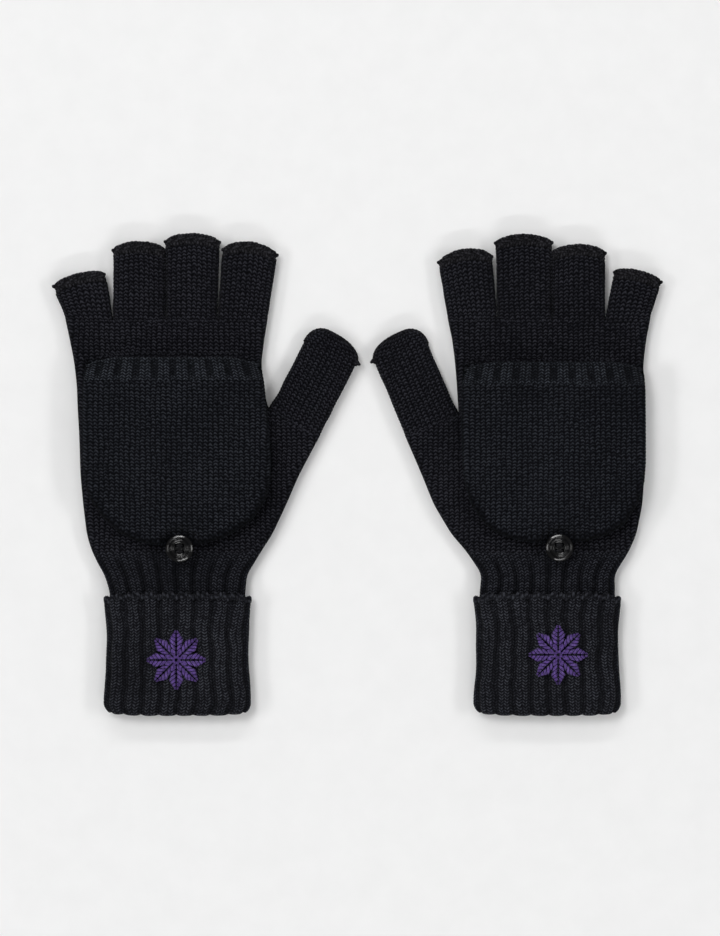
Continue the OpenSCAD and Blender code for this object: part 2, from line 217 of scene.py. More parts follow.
def end_columns(rows, cols):
    return np.arange(rows) * cols, (np.arange(rows) * cols + cols - 1)[::-1]


def capped(part, rings, uv_at=((0, 0), (0, 0))):
    """A part with a fan over each of its open ends, which are rings of point numbers."""
    points, faces, uv = part
    for ring, start in zip(rings, uv_at):
        pole = np.full(len(ring), len(points))
        steps = 0.25 * np.arange(len(ring))
        fan = np.zeros((len(ring), 4, 2)) + start
        fan[:, 0, 0] += steps
        fan[:, 1, 0] += steps + 0.25
        points = np.concatenate([points, points[ring].mean(0)[None]])
        faces = np.concatenate([faces, np.stack([ring, np.roll(ring, -1), pole, pole], 1)])
        uv = np.concatenate([uv, fan])
    return points, faces, uv


def outward(points, faces, uv):
    """A closed part with its faces turned over if they looked inwards."""
    a, b, c, d = [points[faces[:, corner]] for corner in range(4)]
    inside_out = np.einsum("ij,ij", a, np.cross(b, c) + np.cross(c, d)) < 0
    order = [1, 0, 3, 2] if inside_out else [0, 1, 2, 3]
    return points, faces[:, order], uv[:, order]


def join(parts):
    """Joins closed parts into one."""
    points, faces, uvs = zip(*[outward(*part) for part in parts])
    firsts = np.cumsum([0] + [len(p) for p in points])
    faces = [f + first for f, first in zip(faces, firsts)]
    return np.concatenate(points), np.concatenate(faces), np.concatenate(uvs)


def tube_along(path, radius, sides=8, closed=False):
    """A round cord along a path of points."""
    path = np.asarray(path, float)
    ahead = round_way(path) if closed else unit(np.gradient(path, axis=0))
    upright = np.abs(ahead[:, 2]).min() > 0.9
    side = unit(np.cross(ahead, [1, 0, 0] if upright else UP))
    up = np.cross(side, ahead)
    ang = (TAU * np.arange(sides) / sides)[None, :, None]
    grid = path[:, None] + radius * (np.cos(ang) * side[:, None] + np.sin(ang) * up[:, None])
    run = run_of(path)
    run = np.append(run, run[-1] + run[1])
    points, faces, uv = woven(grid, np.arange(sides + 1) / sides, run, closed, True)
    part = points, faces, uv[..., ::-1]
    return part if closed else capped(part, end_rows(len(path), sides))


def strand_shape(rings=5, sides=8):
    """A plump strand from -1 to 1 along x, one unit thick, with pointed ends."""
    t = np.linspace(-1, 1, rings + 2)[1:-1]
    girth = np.sqrt(1 - np.abs(t) ** 2.6)
    ang = TAU * np.arange(sides) / sides
    grid = np.stack([np.repeat(t[:, None], sides, 1), np.outer(girth, np.cos(ang)),
                     np.outer(girth, np.sin(ang))], 2)
    points, faces, uv = woven(grid, np.arange(sides + 1) / sides,
                              (np.arange(rings) + 1) / (rings + 1), loop_cols=True)
    points, faces, uv = capped((points, faces, uv[..., ::-1]), end_rows(rings, sides),
                               ((0, 0), (1, 0)))
    points[-2:, 0] = -1, 1
    return points, faces, uv


STRAND = strand_shape()


def strands(centres, along, up, length, width, height):
    """Strands at centres: half length along one way, half width and half height across."""
    shape, faces, uv = STRAND
    centres, along, up = [np.asarray(a, float) for a in (centres, along, up)]
    n = len(centres)
    along = unit(along)
    side = unit(np.cross(up, along))
    up = np.cross(along, side)
    length, width, height = [np.broadcast_to(a, n)[:, None, None] for a in (length, width, height)]
    points = (centres[:, None] + along[:, None] * shape[None, :, :1] * length
              + side[:, None] * shape[None, :, 1:2] * width
              + up[:, None] * shape[None, :, 2:] * height)
    faces = faces[None] + (np.arange(n) * len(shape))[:, None, None]
    shift = np.arange(n)[:, None, None, None] * np.array([0.0, 0.37])
    return points.reshape(-1, 3), faces.reshape(-1, 4), (uv[None] + shift).reshape(-1, 4, 2)


# ---------- tubes: a flattened loop carried along y ----------

class Loop:
    """Points round a flattened tube, evenly spaced: where each sits and which way it faces."""

    def __init__(self, half, radius, count, start=0.0, share=1.0):
        flat = 2 * (half - radius)
        bend = math.pi * radius
        # from the middle of the underside: towards -x, up, over the top, down, and back
        marks = np.cumsum([0, flat / 2, bend, flat, bend, flat / 2])
        steps = count if share == 1 else count - 1
        self.count = count
        self.length = marks[-1]
        self.arc = (start + share * np.arange(count) / steps) % 1 * self.length
        self.f = np.interp(self.arc, marks, [0, -1, -1, 1, 1, 0])
        angle = -math.pi * np.interp(self.arc, marks, [0.5, 0.5, 1.5, 1.5, 2.5, 2.5])
        self.cos = np.cos(angle)
        self.sin = np.sin(angle)
        self.out = np.stack([self.cos, np.zeros(count), self.sin], 1)


def knit_loop(half, radius):
    """A loop with a whole number of stitches, the same on both faces."""
    wales = 2 * round((4 * (half - radius) + TAU * radius) / WALE / 2)
    return Loop(half, radius, wales * FINE)


def carry(loop, mid, half, low, high, y, off, slope=0.0, arch=0.0):
    """Grid of a loop's points carried over rows. Each argument after loop has one value, or one
    value a row; off may also be a whole grid, and pushes outwards."""
    mid, half, low, high, y, slope, arch = [
        np.reshape(np.asarray(a, float), (-1, 1)) for a in (mid, half, low, high, y, slope, arch)]
    off = np.asarray(off, float)
    off = off[:, None] if off.ndim == 1 else off
    tall = (high - low) / 2
    r = np.minimum(tall, half)
    x = mid + loop.f * (half - r) + (r + off) * loop.cos
    z = (low + high) / 2 + (tall + off) * loop.sin
    across = loop.f * (half - r) + r * loop.cos
    yy = y + slope * across + arch * (1 - (across / half) ** 2)
    return np.stack(np.broadcast_arrays(x, yy, z), 2)


# ---------- slabs: two skins over an outline ----------

def segments(line):
    line = np.asarray(line, float)
    return np.concatenate([line[:-1], line[1:]], 1)


def inside(p, edges):
    odd = np.zeros(len(p), bool)
    for x0, y0, x1, y1 in edges:
        crosses = (y0 > p[:, 1]) != (y1 > p[:, 1])
        if y1 != y0:
            odd ^= crosses & (p[:, 0] < x0 + (p[:, 1] - y0) / (y1 - y0) * (x1 - x0))
    return odd


def nearest(p, edges):
    """Distance to the nearest edge, and the nearest point on it."""
    best = np.full(len(p), np.inf)
    spot = np.zeros((len(p), 2))
    for edge in edges:
        a = edge[:2]
        d = edge[2:] - a
        t = np.clip(((p - a) @ d) / max(d @ d, 1e-12), 0, 1)
        q = a + t[:, None] * d
        dist = np.hypot(*(p - q).T)
        closer = dist < best
        best[closer] = dist[closer]
        spot[closer] = q[closer]
    return best, spot


def slab(free, cut, step_x, step_y, radius, skins):
    """Two skins over the region inside free and cut edges, on a grid set to the stitches.

    free is the real outline, where the skins meet; cut is a join to another piece. skins is
    called with (flat place, plan place, rise, distance) and returns the two heights. Returns the
    part, with uv in millimetres, and each point's distance from the outline."""
    edges = np.concatenate([free, cut])
    steps = []
    for axis, step in ((0, step_x), (1, step_y)):
        places = edges[:, axis::2]
        steps.append(step * np.arange(math.floor(places.min() / step) - 1,
                                      math.ceil(places.max() / step) + 2))
    grid = np.stack([g.ravel() for g in np.meshgrid(*steps)], 1)
    within = inside(grid, edges)
    quads, _, _ = lattice(len(steps[1]), len(steps[0]))
    kept = quads[within[quads].any(1)]
    used, kept = np.unique(kept, return_inverse=True)
    kept = kept.reshape(-1, 4)
    flat = grid[used]
    out = ~within[used]
    flat[out] = nearest(flat[out], edges)[1]
    dist, foot = nearest(flat, free)
    dist[dist < 1e-4] = 0
    turn = np.clip(dist / radius, 0, 1) * math.pi / 2
    plan = np.where(dist < radius, radius * (1 - np.cos(turn)), dist)
    share = np.where(dist > 0, plan / np.maximum(dist, 1e-9), 1)
    moved = foot + (flat - foot) * share[:, None]
    first, second = skins(flat, moved, np.sin(turn), dist)
    rim = out & (dist == 0)
    twin = np.where(rim, np.arange(len(used)), len(used) + np.cumsum(~rim) - 1)
    top = np.column_stack([moved, np.where(rim, (first + second) / 2, first)])
    points = np.concatenate([top, np.column_stack([moved, second])[~rim]])
    sides = {(a, b) for face in kept for a, b in zip(face, np.roll(face, -1))}
    border = [(a, b) for face in kept for a, b in zip(face, np.roll(face, -1))
              if (b, a) not in sides and (twin[a] != a or twin[b] != b)]
    a, b = np.array(border).T
    wall = np.stack([b, a, twin[a], twin[b]], 1)
    for shared, corner in ((twin[a] == a, b), (twin[b] == b, a)):
        wall[shared] = np.stack([b, a, twin[corner], twin[corner]], 1)[shared]
    faces = np.concatenate([kept, twin[kept][:, ::-1], wall])
    uv = np.concatenate([flat[kept], flat[kept][:, ::-1],
                         np.stack([flat[b], flat[a], flat[a], flat[b]], 1)])
    return (points, faces, uv), np.concatenate([dist, dist[~rim]])


# ---------- one mitten's own frame ----------

class Mitten:
    """A mitten's frame: x is towards its thumb, y towards its fingertips, z up."""

    def __init__(self, side):
        self.side = side
        self.body = side + "_mitten"
        self.flap = side + "_flap"
        self.seed = SEEDS[side]
        lo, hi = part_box(side + "_cuff")
        self.centre = (lo.x + hi.x) / 2 / MM
        thumb = mm(JOINTS[side + "_thumb_swing"]["pos_m"])
        self.sign = 1 if thumb[0] > self.centre else -1
        self.root = self.local(thumb[None])[0]
        _, self.hinge, self.hinge_z = mm(JOINTS[side + "_flap_flip"]["pos_m"])
        self.knuckle = self.box("hand_shell")[1][1]

    def local(self, p):
        p = np.array(p, float)
        p[:, 0] = (p[:, 0] - self.centre) * self.sign
        return p

    def world(self, p):
        p = np.array(p, float)
        p[:, 0] = self.centre + self.sign * p[:, 0]
        return p * MM

    def spot(self, x, y, z):
        return tuple(self.world([[x, y, z]])[0])

    def box(self, node):
        lo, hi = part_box(f"{self.side}_{node}")
        p = self.local(np.array([lo, hi]) / MM)
        return p.min(0), p.max(0)

    def corners(self, node):
        """All points of a CAD node."""
        mesh = frame["nodes"][f"{self.side}_{node}"].data
        co = np.zeros(len(mesh.vertices) * 3)
        mesh.vertices.foreach_get("co", co)
        return self.local(co.reshape(-1, 3) / MM)

    def slicer(self, node):
        """A function that gives the lowest and highest x of a CAD node at a height y."""
        mesh = frame["nodes"][f"{self.side}_{node}"].data
        pairs = np.zeros(len(mesh.edges) * 2, int)
        mesh.edges.foreach_get("vertices", pairs)
        a, b = self.corners(node)[pairs.reshape(-1, 2)].transpose(1, 0, 2)

        def at(y):
            hit = ((a[:, 1] - y) * (b[:, 1] - y) <= 0) & (np.abs(a[:, 1] - b[:, 1]) > 1e-9)
            p, q = a[hit], b[hit]
            x = p[:, 0] + (y - p[:, 1]) / (q[:, 1] - p[:, 1]) * (q[:, 0] - p[:, 0])
            return x.min(), x.max()
        return at

    def mesh(self, piece, part, material, body, node, slot, painted_shade=None):
        """Makes the piece that stands for a CAD node. Its last argument is the painted shade each
        point gets, from 0 to 1. body is None where the piece is attached later, or not at all."""
        points, faces, uv = part
        if material in (HAND_YARN, FLAP_YARN):
            uv = np.stack(loosen(uv[..., 0], uv[..., 1]), -1)
        points = self.world(points)
        points[:, 2] = np.maximum(points[:, 2], FLOOR_GAP * MM)
        obj = make_mesh(f"{self.side}_{piece}", outward(points, faces, uv), material, painted_shade)
        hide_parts(f"{self.side}_{node}")
        if body:
            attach(obj, body)
        return obj

    def blend(self, obj, body, start, end):
        self.spot(*start)
        self.spot(*end)
        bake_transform(obj)


def make_mesh(name, part, material, painted_shade=None):
    points, faces, uv = part
    tri = faces[:, 2] == faces[:, 3]
    quads, tris = faces[~tri], faces[tri][:, :3]
    loops = np.concatenate([quads.ravel(), tris.ravel()]).astype(np.int32)
    uvs = np.concatenate([uv[~tri].reshape(-1, 2), uv[tri][:, :3].reshape(-1, 2)])
    sizes = np.repeat([4, 3], [len(quads), len(tris)])
    starts = np.concatenate([[0], np.cumsum(sizes)[:-1]]).astype(np.int32)
    mesh = bpy.data.meshes.new(name)
    mesh.vertices.add(len(points))
    mesh.vertices.foreach_set("co", points.astype(np.float32).ravel())
    mesh.loops.add(len(loops))
    mesh.loops.foreach_set("vertex_index", loops)
    mesh.polygons.add(len(sizes))
    mesh.polygons.foreach_set("loop_start", starts)
    mesh.polygons.foreach_set("use_smooth", np.ones(len(sizes), bool))
    layers = {"Knit": uvs}
    # painted shade goes in a uv layer of its own, which the yarn shader reads
    if painted_shade is not None:
        painted_shade = np.broadcast_to(painted_shade, len(points))
        layers["Depth"] = np.column_stack([painted_shade[loops], np.zeros(len(loops))])
    for layer, values in layers.items():
        places = mesh.uv_layers.new(name=layer)
        places.data.foreach_set("uv", values.astype(np.float32).ravel())
    mesh.update()
    mesh.validate()
    mesh.materials.append(material)
    obj = bpy.data.objects.new(name, mesh)
    bpy.context.scene.collection.objects.link(obj)
    return obj


# ---------- materials ----------

class Paint:
    """Builds one node material."""

    def __init__(self, name, rough=0.8, **sockets):
        self.mat = bpy.data.materials.new(name)
        self.mat.use_nodes = True
        self.tree = self.mat.node_tree
        self.shader = self.tree.nodes["Principled BSDF"]
        self.set(self.shader, "Roughness", rough)
        for key, value in sockets.items():
            self.set(self.shader, key.replace("_", " "), value)

    def set(self, node, socket, value):
        if isinstance(value, bpy.types.NodeSocket):
            self.tree.links.new(value, node.inputs[socket])
        elif value is not None:
            node.inputs[socket].default_value = value

    def node(self, kind, inputs=(), **props):
        """A new node with its inputs set in order; returns its first output."""
        n = self.tree.nodes.new(kind)
        for key, value in props.items():
            setattr(n, key, value)
        for socket, value in enumerate(inputs):
            self.set(n, socket, value)
        return n.outputs[0]

    def math(self, op, *values):
        return self.node("ShaderNodeMath", values, operation=op)

    def remap(self, value, a, b, c, d):
        return self.node("ShaderNodeMapRange", (value, a, b, c, d))

    def uv(self, layer):
        """A uv layer as a vector, and its two numbers."""
        vector = self.node("ShaderNodeUVMap", uv_map=layer)
        split = self.tree.nodes.new("ShaderNodeSeparateXYZ")
        self.set(split, 0, vector)
        return vector, split.outputs[0], split.outputs[1]

    def noise(self, scale, detail=3.0, vector=None, distortion=0.0):
        n = self.tree.nodes.new("ShaderNodeTexNoise")
        if vector is None:
            vector = self.tree.nodes.new("ShaderNodeTexCoord").outputs["Object"]
        for key, value in (("Vector", vector), ("Scale", scale), ("Detail", detail),
                           ("Roughness", 0.6), ("Distortion", distortion)):
            self.set(n, key, value)
        return n.outputs[0]

    def ramp(self, value, *stops):
        n = self.tree.nodes.new("ShaderNodeValToRGB")
        elements = n.color_ramp.elements
        while len(elements) < len(stops):
            elements.new(0.5)
        for element, (place, colour) in zip(elements, stops):
            element.position = place
            element.color = (*colour, 1)
        self.set(n, "Fac", value)
        return n.outputs[0]

    def bump(self, height, distance, strength=1.0, normal=None):
        n = self.tree.nodes.new("ShaderNodeBump")
        for key, value in (("Height", height), ("Distance", distance), ("Strength", strength),
                           ("Normal", normal)):
            self.set(n, key, value)
        return n.outputs[0]

    def finish(self, colour, rough, normal):
        for key, value in (("Base Color", colour), ("Roughness", rough), ("Normal", normal)):
            self.set(self.shader, key, value)
        return self.mat


def knit_nodes(p, u, v, heart, lean):
    """Height of stocking stitch, between 0 and 1, from stitch coordinates. heart is how far a
    column dips down its middle."""
    part = p.math("FRACT", u)
    away = p.math("ABSOLUTE", p.math("SUBTRACT", part, 0.5))
    edge = p.math("POWER", p.math("MULTIPLY", away, 2.0), 2.6)
    column = p.math("MULTIPLY_ADD", edge, -0.72, 1.0)
    column = p.math("SUBTRACT", column, p.remap(away, 0.0, 0.17, heart, 0.0))
    leg = p.math("ABSOLUTE", p.math("SUBTRACT", part, CROWN))
    band = p.math("COSINE", p.math("MULTIPLY", p.math("MULTIPLY_ADD", leg, lean, v), TAU))
    band = p.math("POWER", p.math("MULTIPLY_ADD", band, 0.5, 0.5), 0.8)
    return p.math("MULTIPLY", column, p.math("MULTIPLY_ADD", band, 0.86, 0.14))


def yarn(name, colour, pale, stitch="knit"):
    """Dull soft yarn. colour is the yarn's own colour, and pale a painted highlight where a stitch or ply
    stands highest; the hollows get painted shade.
    """
    p = Paint(name, Sheen_Weight=0.02, Sheen_Roughness=0.5, Specular_IOR_Level=0.01)
    coords, u, v = p.uv("Knit")
    if stitch == "ply":
        ply = p.math("SINE", p.math("MULTIPLY_ADD", u, 9.0, p.math("MULTIPLY", v, TAU)))
        height = p.math("MULTIPLY_ADD", ply, 0.28, 0.62)
    else:
        heart, lean = (0.5, RIB_LEAN) if stitch == "rib" else (0.12, LEAN)
        # the mesh's painted shade layer lowers the stitch height, which darkens the colour and flattens
        # the bump
        lit = p.math("MULTIPLY_ADD", p.uv("Depth")[1], -0.85, 1.0)
        height = p.math("MULTIPLY", knit_nodes(p, u, v, heart, lean), lit)
    fibre = p.noise(2600.0)
    shade = height
    for noise, change in ((fibre, 0.28), (p.noise(420.0), 0.28),
                          (p.noise(1.25, 1.0, vector=coords), 0.28), (p.noise(34.0, 2.0), 0.14)):
        shade = p.math("MULTIPLY", shade, p.remap(noise, 0.3, 0.7, 1 - change, 1 + change))
    # painted shade in the stitch and ply hollows and a painted highlight on their crowns, mixed with
    # random mottle
    tone = p.ramp(shade, (0.0, dim(colour, 0.1)), (0.5, colour), (1.0, pale))
    relief = p.bump(height, 0.0005)
    return p.finish(tone, p.remap(fibre, 0.25, 0.75, 0.75, 0.98),
                    p.bump(fibre, 0.0002, 0.8, normal=relief))


def satin(name, colour, deep):
    """Shiny embroidery thread."""
    p = Paint(name, Anisotropic=0.5, Specular_IOR_Level=0.35, Sheen_Weight=0.05,
              Sheen_Roughness=0.3)
    _, u, v = p.uv("Knit")
    twist = p.math("SINE", p.math("MULTIPLY_ADD", u, 40.0, p.math("MULTIPLY", v, TAU)))
    patch = p.noise(900.0, 2.0)
    return p.finish(p.ramp(patch, (0.28, deep), (0.72, colour)),
                    p.remap(patch, 0.3, 0.7, 0.28, 0.48), p.bump(twist, 0.00008))


def gloss(name, colour):
    """Polished black plastic with faint handling marks."""
    p = Paint(name, Specular_IOR_Level=0.24)
    smear = p.noise(260.0, distortion=0.6)
    return p.finish(p.ramp(smear, (0.3, dim(colour, 0.7)), (0.8, dim(colour, 1.5))),
                    p.remap(smear, 0.3, 0.75, 0.12, 0.2),
                    p.bump(p.noise(1400.0, 2.0), 0.00002, 0.4))


# each yarn: its own colour, then the painted highlight for its stitch crowns
HAND_YARN = yarn("hand_yarn", (0.0064, 0.0066, 0.0090), (0.027, 0.0275, 0.0345))
FLAP_YARN = yarn("flap_yarn", (0.0066, 0.0073, 0.0097), (0.0270, 0.0295, 0.0365))
RIB_YARN = yarn("rib_yarn", (0.0124, 0.0130, 0.0166), (0.050, 0.053, 0.064), "rib")
WRIST_YARN = yarn("wrist_yarn", (0.0088, 0.0094, 0.0124), (0.036, 0.038, 0.047), "rib")
FLAP_RIB_YARN = yarn("flap_rib_yarn", (0.0116, 0.0130, 0.0166), (0.048, 0.054, 0.065), "rib")
CUFF_EDGE_YARN = yarn("cuff_edge_yarn", (0.0092, 0.0096, 0.0124), (0.038, 0.040, 0.049), "ply")
# the flap's edge chain is darkened as painted shade under the flap's rolled rim
FLAP_SIDE_SHADED_YARN = yarn("flap_side_shaded_yarn", (0.0030, 0.0036, 0.0048), (0.010, 0.012, 0.016), "ply")
EDGE_YARN = yarn("edge_yarn", (0.0084, 0.0083, 0.0099), (0.030, 0.0295, 0.0345), "ply")
THREAD = yarn("button_thread", (0.009, 0.009, 0.0105), (0.034, 0.034, 0.038), "ply")
PURPLE = satin("purple_satin", (0.150, 0.075, 0.35), (0.027, 0.009, 0.086))
BLACK = gloss("button_black", (0.002, 0.002, 0.0024))


# ---------- measures taken from the CAD ----------

def body_profile(m):
    """Side edges of hand and wrist at any height, with the corners between rows rounded."""
    lo, hi = m.box("hand_shell")
    hand = m.slicer("hand_shell")
    wrist = m.slicer("wrist_rib")
    ys = np.arange(lo[1] - 20, hi[1] - 0.02, 0.5)
    spans = np.array([hand(y) if y > lo[1] + 0.01 else wrist(y - 0.1) for y in ys])
    reach = 12
    weight = np.exp(-np.linspace(-2, 2, 2 * reach + 1) ** 2)
    weight /= weight.sum()
    soft = np.empty_like(spans)
    for k in (0, 1):
        padded = np.concatenate([2 * spans[0, k] - spans[reach:0:-1, k], spans[:, k],
                                 2 * spans[-1, k] - spans[-2:-reach - 2:-1, k]])
        soft[:, k] = np.convolve(padded, weight, "valid")
    # the thumb's side keeps its corner where the thumb leaves the hand
    keep = smooth((ys - 5) / 10)
    soft[:, 1] = soft[:, 1] * (1 - keep) + spans[:, 1] * keep
    return lambda y: (np.interp(y, ys, soft[:, 0]), np.interp(y, ys, soft[:, 1]))


def measure_thumb(m):
    """Where the thumb springs from the hand, which way it points, its width and its length."""
    lo, hi = m.box("hand_shell")
    at = m.slicer("hand_shell")
    ys = np.arange(lo[1] + 0.02, hi[1], 0.25)
    reach = np.array([at(y)[1] for y in ys])
    m.corner = np.array([reach.max(), ys[reach.argmax()]])
    stall = m.corners("thumb_stall")[:, :2]
    seam = m.corners("thumb_tip_seam")[:, :2]
    base = m.root[:2] - m.corner
    away = np.array([-base[1], base[0]])
    away *= np.sign(away @ (seam.mean(0) - stall.mean(0)))
    m.away = away / np.hypot(*away)
    m.across = np.array([m.away[1], -m.away[0]])
    m.thumb_wide = ((stall - m.root[:2]) @ m.across).max()
    m.thumb_tip = ((seam - m.root[:2]) @ m.away).max() + 0.8


def finger_lines(m, low_side, high_side):
    """Each finger's side edges at the knuckles and near its tip. Fingers that nearly touch in
    the CAD, which keeps them apart so that they can move, lie against each other here."""
    tips, bases = [], []
    m.tip_y = []
    for name in FINGERS:
        lo, hi = m.box(name + "_stall")
        at = m.slicer(name + "_stall")
        m.tip_y.append(hi[1] - 7)
        tips.append(at(hi[1] - 7))
        bases.append(at(lo[1] + 0.3))
    m.base_edges = [low_side]
    m.tip_edges = [[low - 0.55, high + 0.55] for low, high in tips]
    for k in range(len(FINGERS) - 1):
        m.base_edges.append((bases[k][1] + bases[k + 1][0]) / 2)
        gap = tips[k + 1][0] - tips[k][1]
        if gap < 4 and k > 0:
            close = (gap - TIP_GAPS[k]) / 2
            m.tip_edges[k][1] = tips[k][1] + close
            m.tip_edges[k + 1][0] = tips[k + 1][0] - close
    m.base_edges.append(high_side)


# ---------- hand ----------

def build_hand(m):
    """Palm and back of the hand, up to the knuckles and out to the thumb's root."""
    lo, hi = m.box("hand_shell")
    wrist = lo[1] + RIB_TOP
    low = lo[2]
    radius = (hi[2] - low) / 2
    mid = (hi[2] + low) / 2

    def edge(k, start, end, count):
        rows = np.linspace(start, end, count)
        return np.column_stack([m.profile(rows)[k], rows])

    left = chaikin(edge(0, wrist, m.knuckle, 60))
    below = edge(1, wrist, m.corner[1], 40)
    below[-1] = m.corner
    above = edge(1, m.root[1] + 0.8, m.knuckle, 24)
    above[0] = m.root[:2]
    above = chaikin(above)
    finger_lines(m, left[-1, 0], above[-1, 0])
    outline = np.concatenate([segments(line) for line in (left, below, above)])
    cut = np.array([[*m.corner, *m.root[:2]], [*above[-1], *left[-1]], [*left[0], *below[0]]])
    # the thumb's sides, the slits between the fingers, and edges that run on past the wrist
    # and the knuckles, so that no end of the hand rounds off
    beyond = [[*foot, *(foot + m.away * 40)] for foot in (m.corner, m.root[:2])]
    beyond += [[x, m.knuckle - 1.5, x, m.knuckle + 30] for x in m.base_edges[1:-1]]
    for end, back in ((left[0], left[1]), (below[0], below[1]), (left[-1], left[-2]),
                      (above[-1], above[-2])):
        beyond.append([*end, *(end + (end - back) * 20)])

    def skins(flat, moved, rise, dist):
        stitch = knit_height(flat[:, 0] / WALE, -flat[:, 1] / COURSE) - 1
        sag = 0.22 * wobble(flat[:, 0], flat[:, 1], 34, m.seed) * rise
        puff = radius * rise + RELIEF * stitch * rise
        return mid + puff + sag - 0.2 * rise, np.maximum(low + FLOOR_GAP, mid - radius * rise)

    (points, faces, uv), _ = slab(outline, cut, WALE / FINE, COURSE / 2, radius, skins)
    points = recast(points, np.concatenate([outline, beyond]), radius, skins)
    m.mesh("hand_knit", (points, faces, uv / [WALE, -COURSE]), HAND_YARN, m.body, "hand_shell",
           "palm_knit", 0)


def recast(points, edges, radius, skins):
    """Lowers points near further edges that the slab's own outline leaves out."""
    dist, _ = nearest(points[:, :2], edges)
    rise = np.sqrt(np.maximum(0, 1 - (1 - np.clip(dist / radius, 0, 1)) ** 2))
    first, second = skins(points[:, :2], points[:, :2], rise, dist)
    level = (first + second) / 2
    z = points[:, 2]
    lowered = np.where(z > level + 1e-3, np.minimum(z, first), z)
    raised = np.where(z < level - 1e-3, np.maximum(z, second), lowered)
    return np.column_stack([points[:, :2], raised])


# ---------- fingers and thumb ----------

def build_finger(m, k):
    """An open finger: a knitted tube from the hand to its open end, and its edge."""
    name = FINGERS[k]
    band_lo, band_hi = m.box(name + "_band")
    low, high = band_lo[2], band_hi[2]
    a, b = m.base_edges[k], m.base_edges[k + 1]
    c, d = m.tip_edges[k]
    run = m.tip_y[k] - m.knuckle
    lean = (c + d - a - b) / 2 / run
    widen = (d - c - b + a) / 2 / run
    tilt = lean * 0.9
    width = (b - a) / 2 + widen * run
    top = band_hi[1] - abs(tilt) * width - EDGE_DROP[k]
    y_end = top - EDGE_TALL
    loop = knit_loop(width, (high - low) / 2)

    def middle(y):
        return (a + b) / 2 + lean * (y - m.knuckle)

    def along(y):
        return np.clip((y - m.knuckle) / (y_end - m.knuckle), 0, 1)

    def rows_at(y, off):
        breadth = (b - a) / 2 + widen * (y - m.knuckle)
        return carry(loop, middle(y), breadth, low, high, y, off, slope=-tilt * along(y),
                     arch=0.8 * EDGE_ARCH[k] * smooth(along(y)))

    rows = max(8, int(round((y_end - m.knuckle) / (COURSE / 4))))
    y = np.linspace(m.knuckle - 2.4, y_end, rows)
    u = np.arange(loop.count + 1) / FINE
    v = -y / COURSE
    puff = 0.18 * wobble(middle(y)[:, None] + loop.arc[None], y[:, None], 16, m.seed + 5 * k)
    off = (RELIEF * (knit_height(u[None, :-1], v[:, None]) - 1) + 0.08
           - 0.45 * smooth((m.knuckle - 1.5 - y) / 0.8)[:, None]
           + (puff + 0.05) * smooth(along(y) * 6)[:, None])
    outer = rows_at(y, off)
    y_in = np.linspace(y_end, m.knuckle, 7)
    inner = rows_at(y_in, -STALL_WALL - RELIEF)
    part = woven(np.concatenate([outer, inner]), u, [*v, *(-y_in / COURSE), v[0]], True, True)
    # the inner face gets full painted shade
    painted_shade = np.repeat([0, 1], [outer.size // 3, inner.size // 3])
    obj = m.mesh(name + "_knit", part, HAND_YARN, None, name + "_stall", "palm_knit", painted_shade)
    body = f"{m.side}_{name}_finger"
    z = (low + high) / 2
    m.blend(obj, body, ((a + b) / 2, m.knuckle - 0.5, z), ((a + b) / 2, m.knuckle + 9, z))
    build_band(m, k, body, middle, width, low, high, top, tilt)


def build_band(m, k, body, middle, half, low, high, top, tilt):
    """The chunky edge of an open finger: a turned rim under three rows of crochet loops."""
    name = FINGERS[k]
    y_end = top - EDGE_TALL
    radius = (high - low) / 2

    def rows_at(loop, y, off):
        arch = EDGE_ARCH[k] * (0.8 + 0.2 * smooth((y - y_end) / EDGE_TALL))
        return carry(loop, middle(y), half, low, high, y, off, slope=-tilt, arch=arch)

    # the rim runs from the stall up, over the top and down inside
    turn = np.linspace(0, math.pi, 7)
    thick = 0.95
    y = np.array([y_end - 1.2, y_end, *(top - 1.4 + thick * np.sin(turn)), y_end, y_end - 3.0])
    off = np.array([-0.5, -0.15, *(thick * np.cos(turn) - thick), -1.9, -1.7]) - 0.6
    rim = Loop(half, radius, 96)
    parts = [woven(rows_at(rim, y, off), 0.4 * np.arange(rim.count + 1),
                   np.arange(len(y) + 1) / len(y), True, True)]
    rng = np.random.RandomState(m.seed + len(name))
    count = int(round(rim.length / 2.0))
    for row, (height, heading, sunk) in enumerate(EDGE_ROWS):
        loop = Loop(half, radius, count, start=0.5 * row / count)
        yy = y_end + height * EDGE_TALL
        ring = carry(loop, middle(yy), half, low, high, yy, sunk, slope=-tilt,
                     arch=EDGE_ARCH[k] * (0.8 + 0.2 * height))[0]
        way = round_way(ring) * math.cos(heading) + FORTH * math.sin(heading)
        jitter = rng.uniform(-0.12, 0.12, (count, 3))
        size = rng.uniform(0.9, 1.1, count)
        parts.append(strands(ring + jitter, way, loop.out, 1.45 * size, 0.85 * size, 0.95 * size))
    # the corners of the edge curl out a little
    for side in (-1, 1):
        spot = [middle(top) + side * (half - 0.1), top - 0.9 - tilt * side * half,
                (low + high) / 2 + 0.8]
        parts.append(strands([spot], [[side * 1.1, 0.6, 0.2]], [UP], 1.2, 0.9, 0.9))
    m.mesh(name + "_edge", join(parts), EDGE_YARN, body, name + "_band", "edge_yarn")


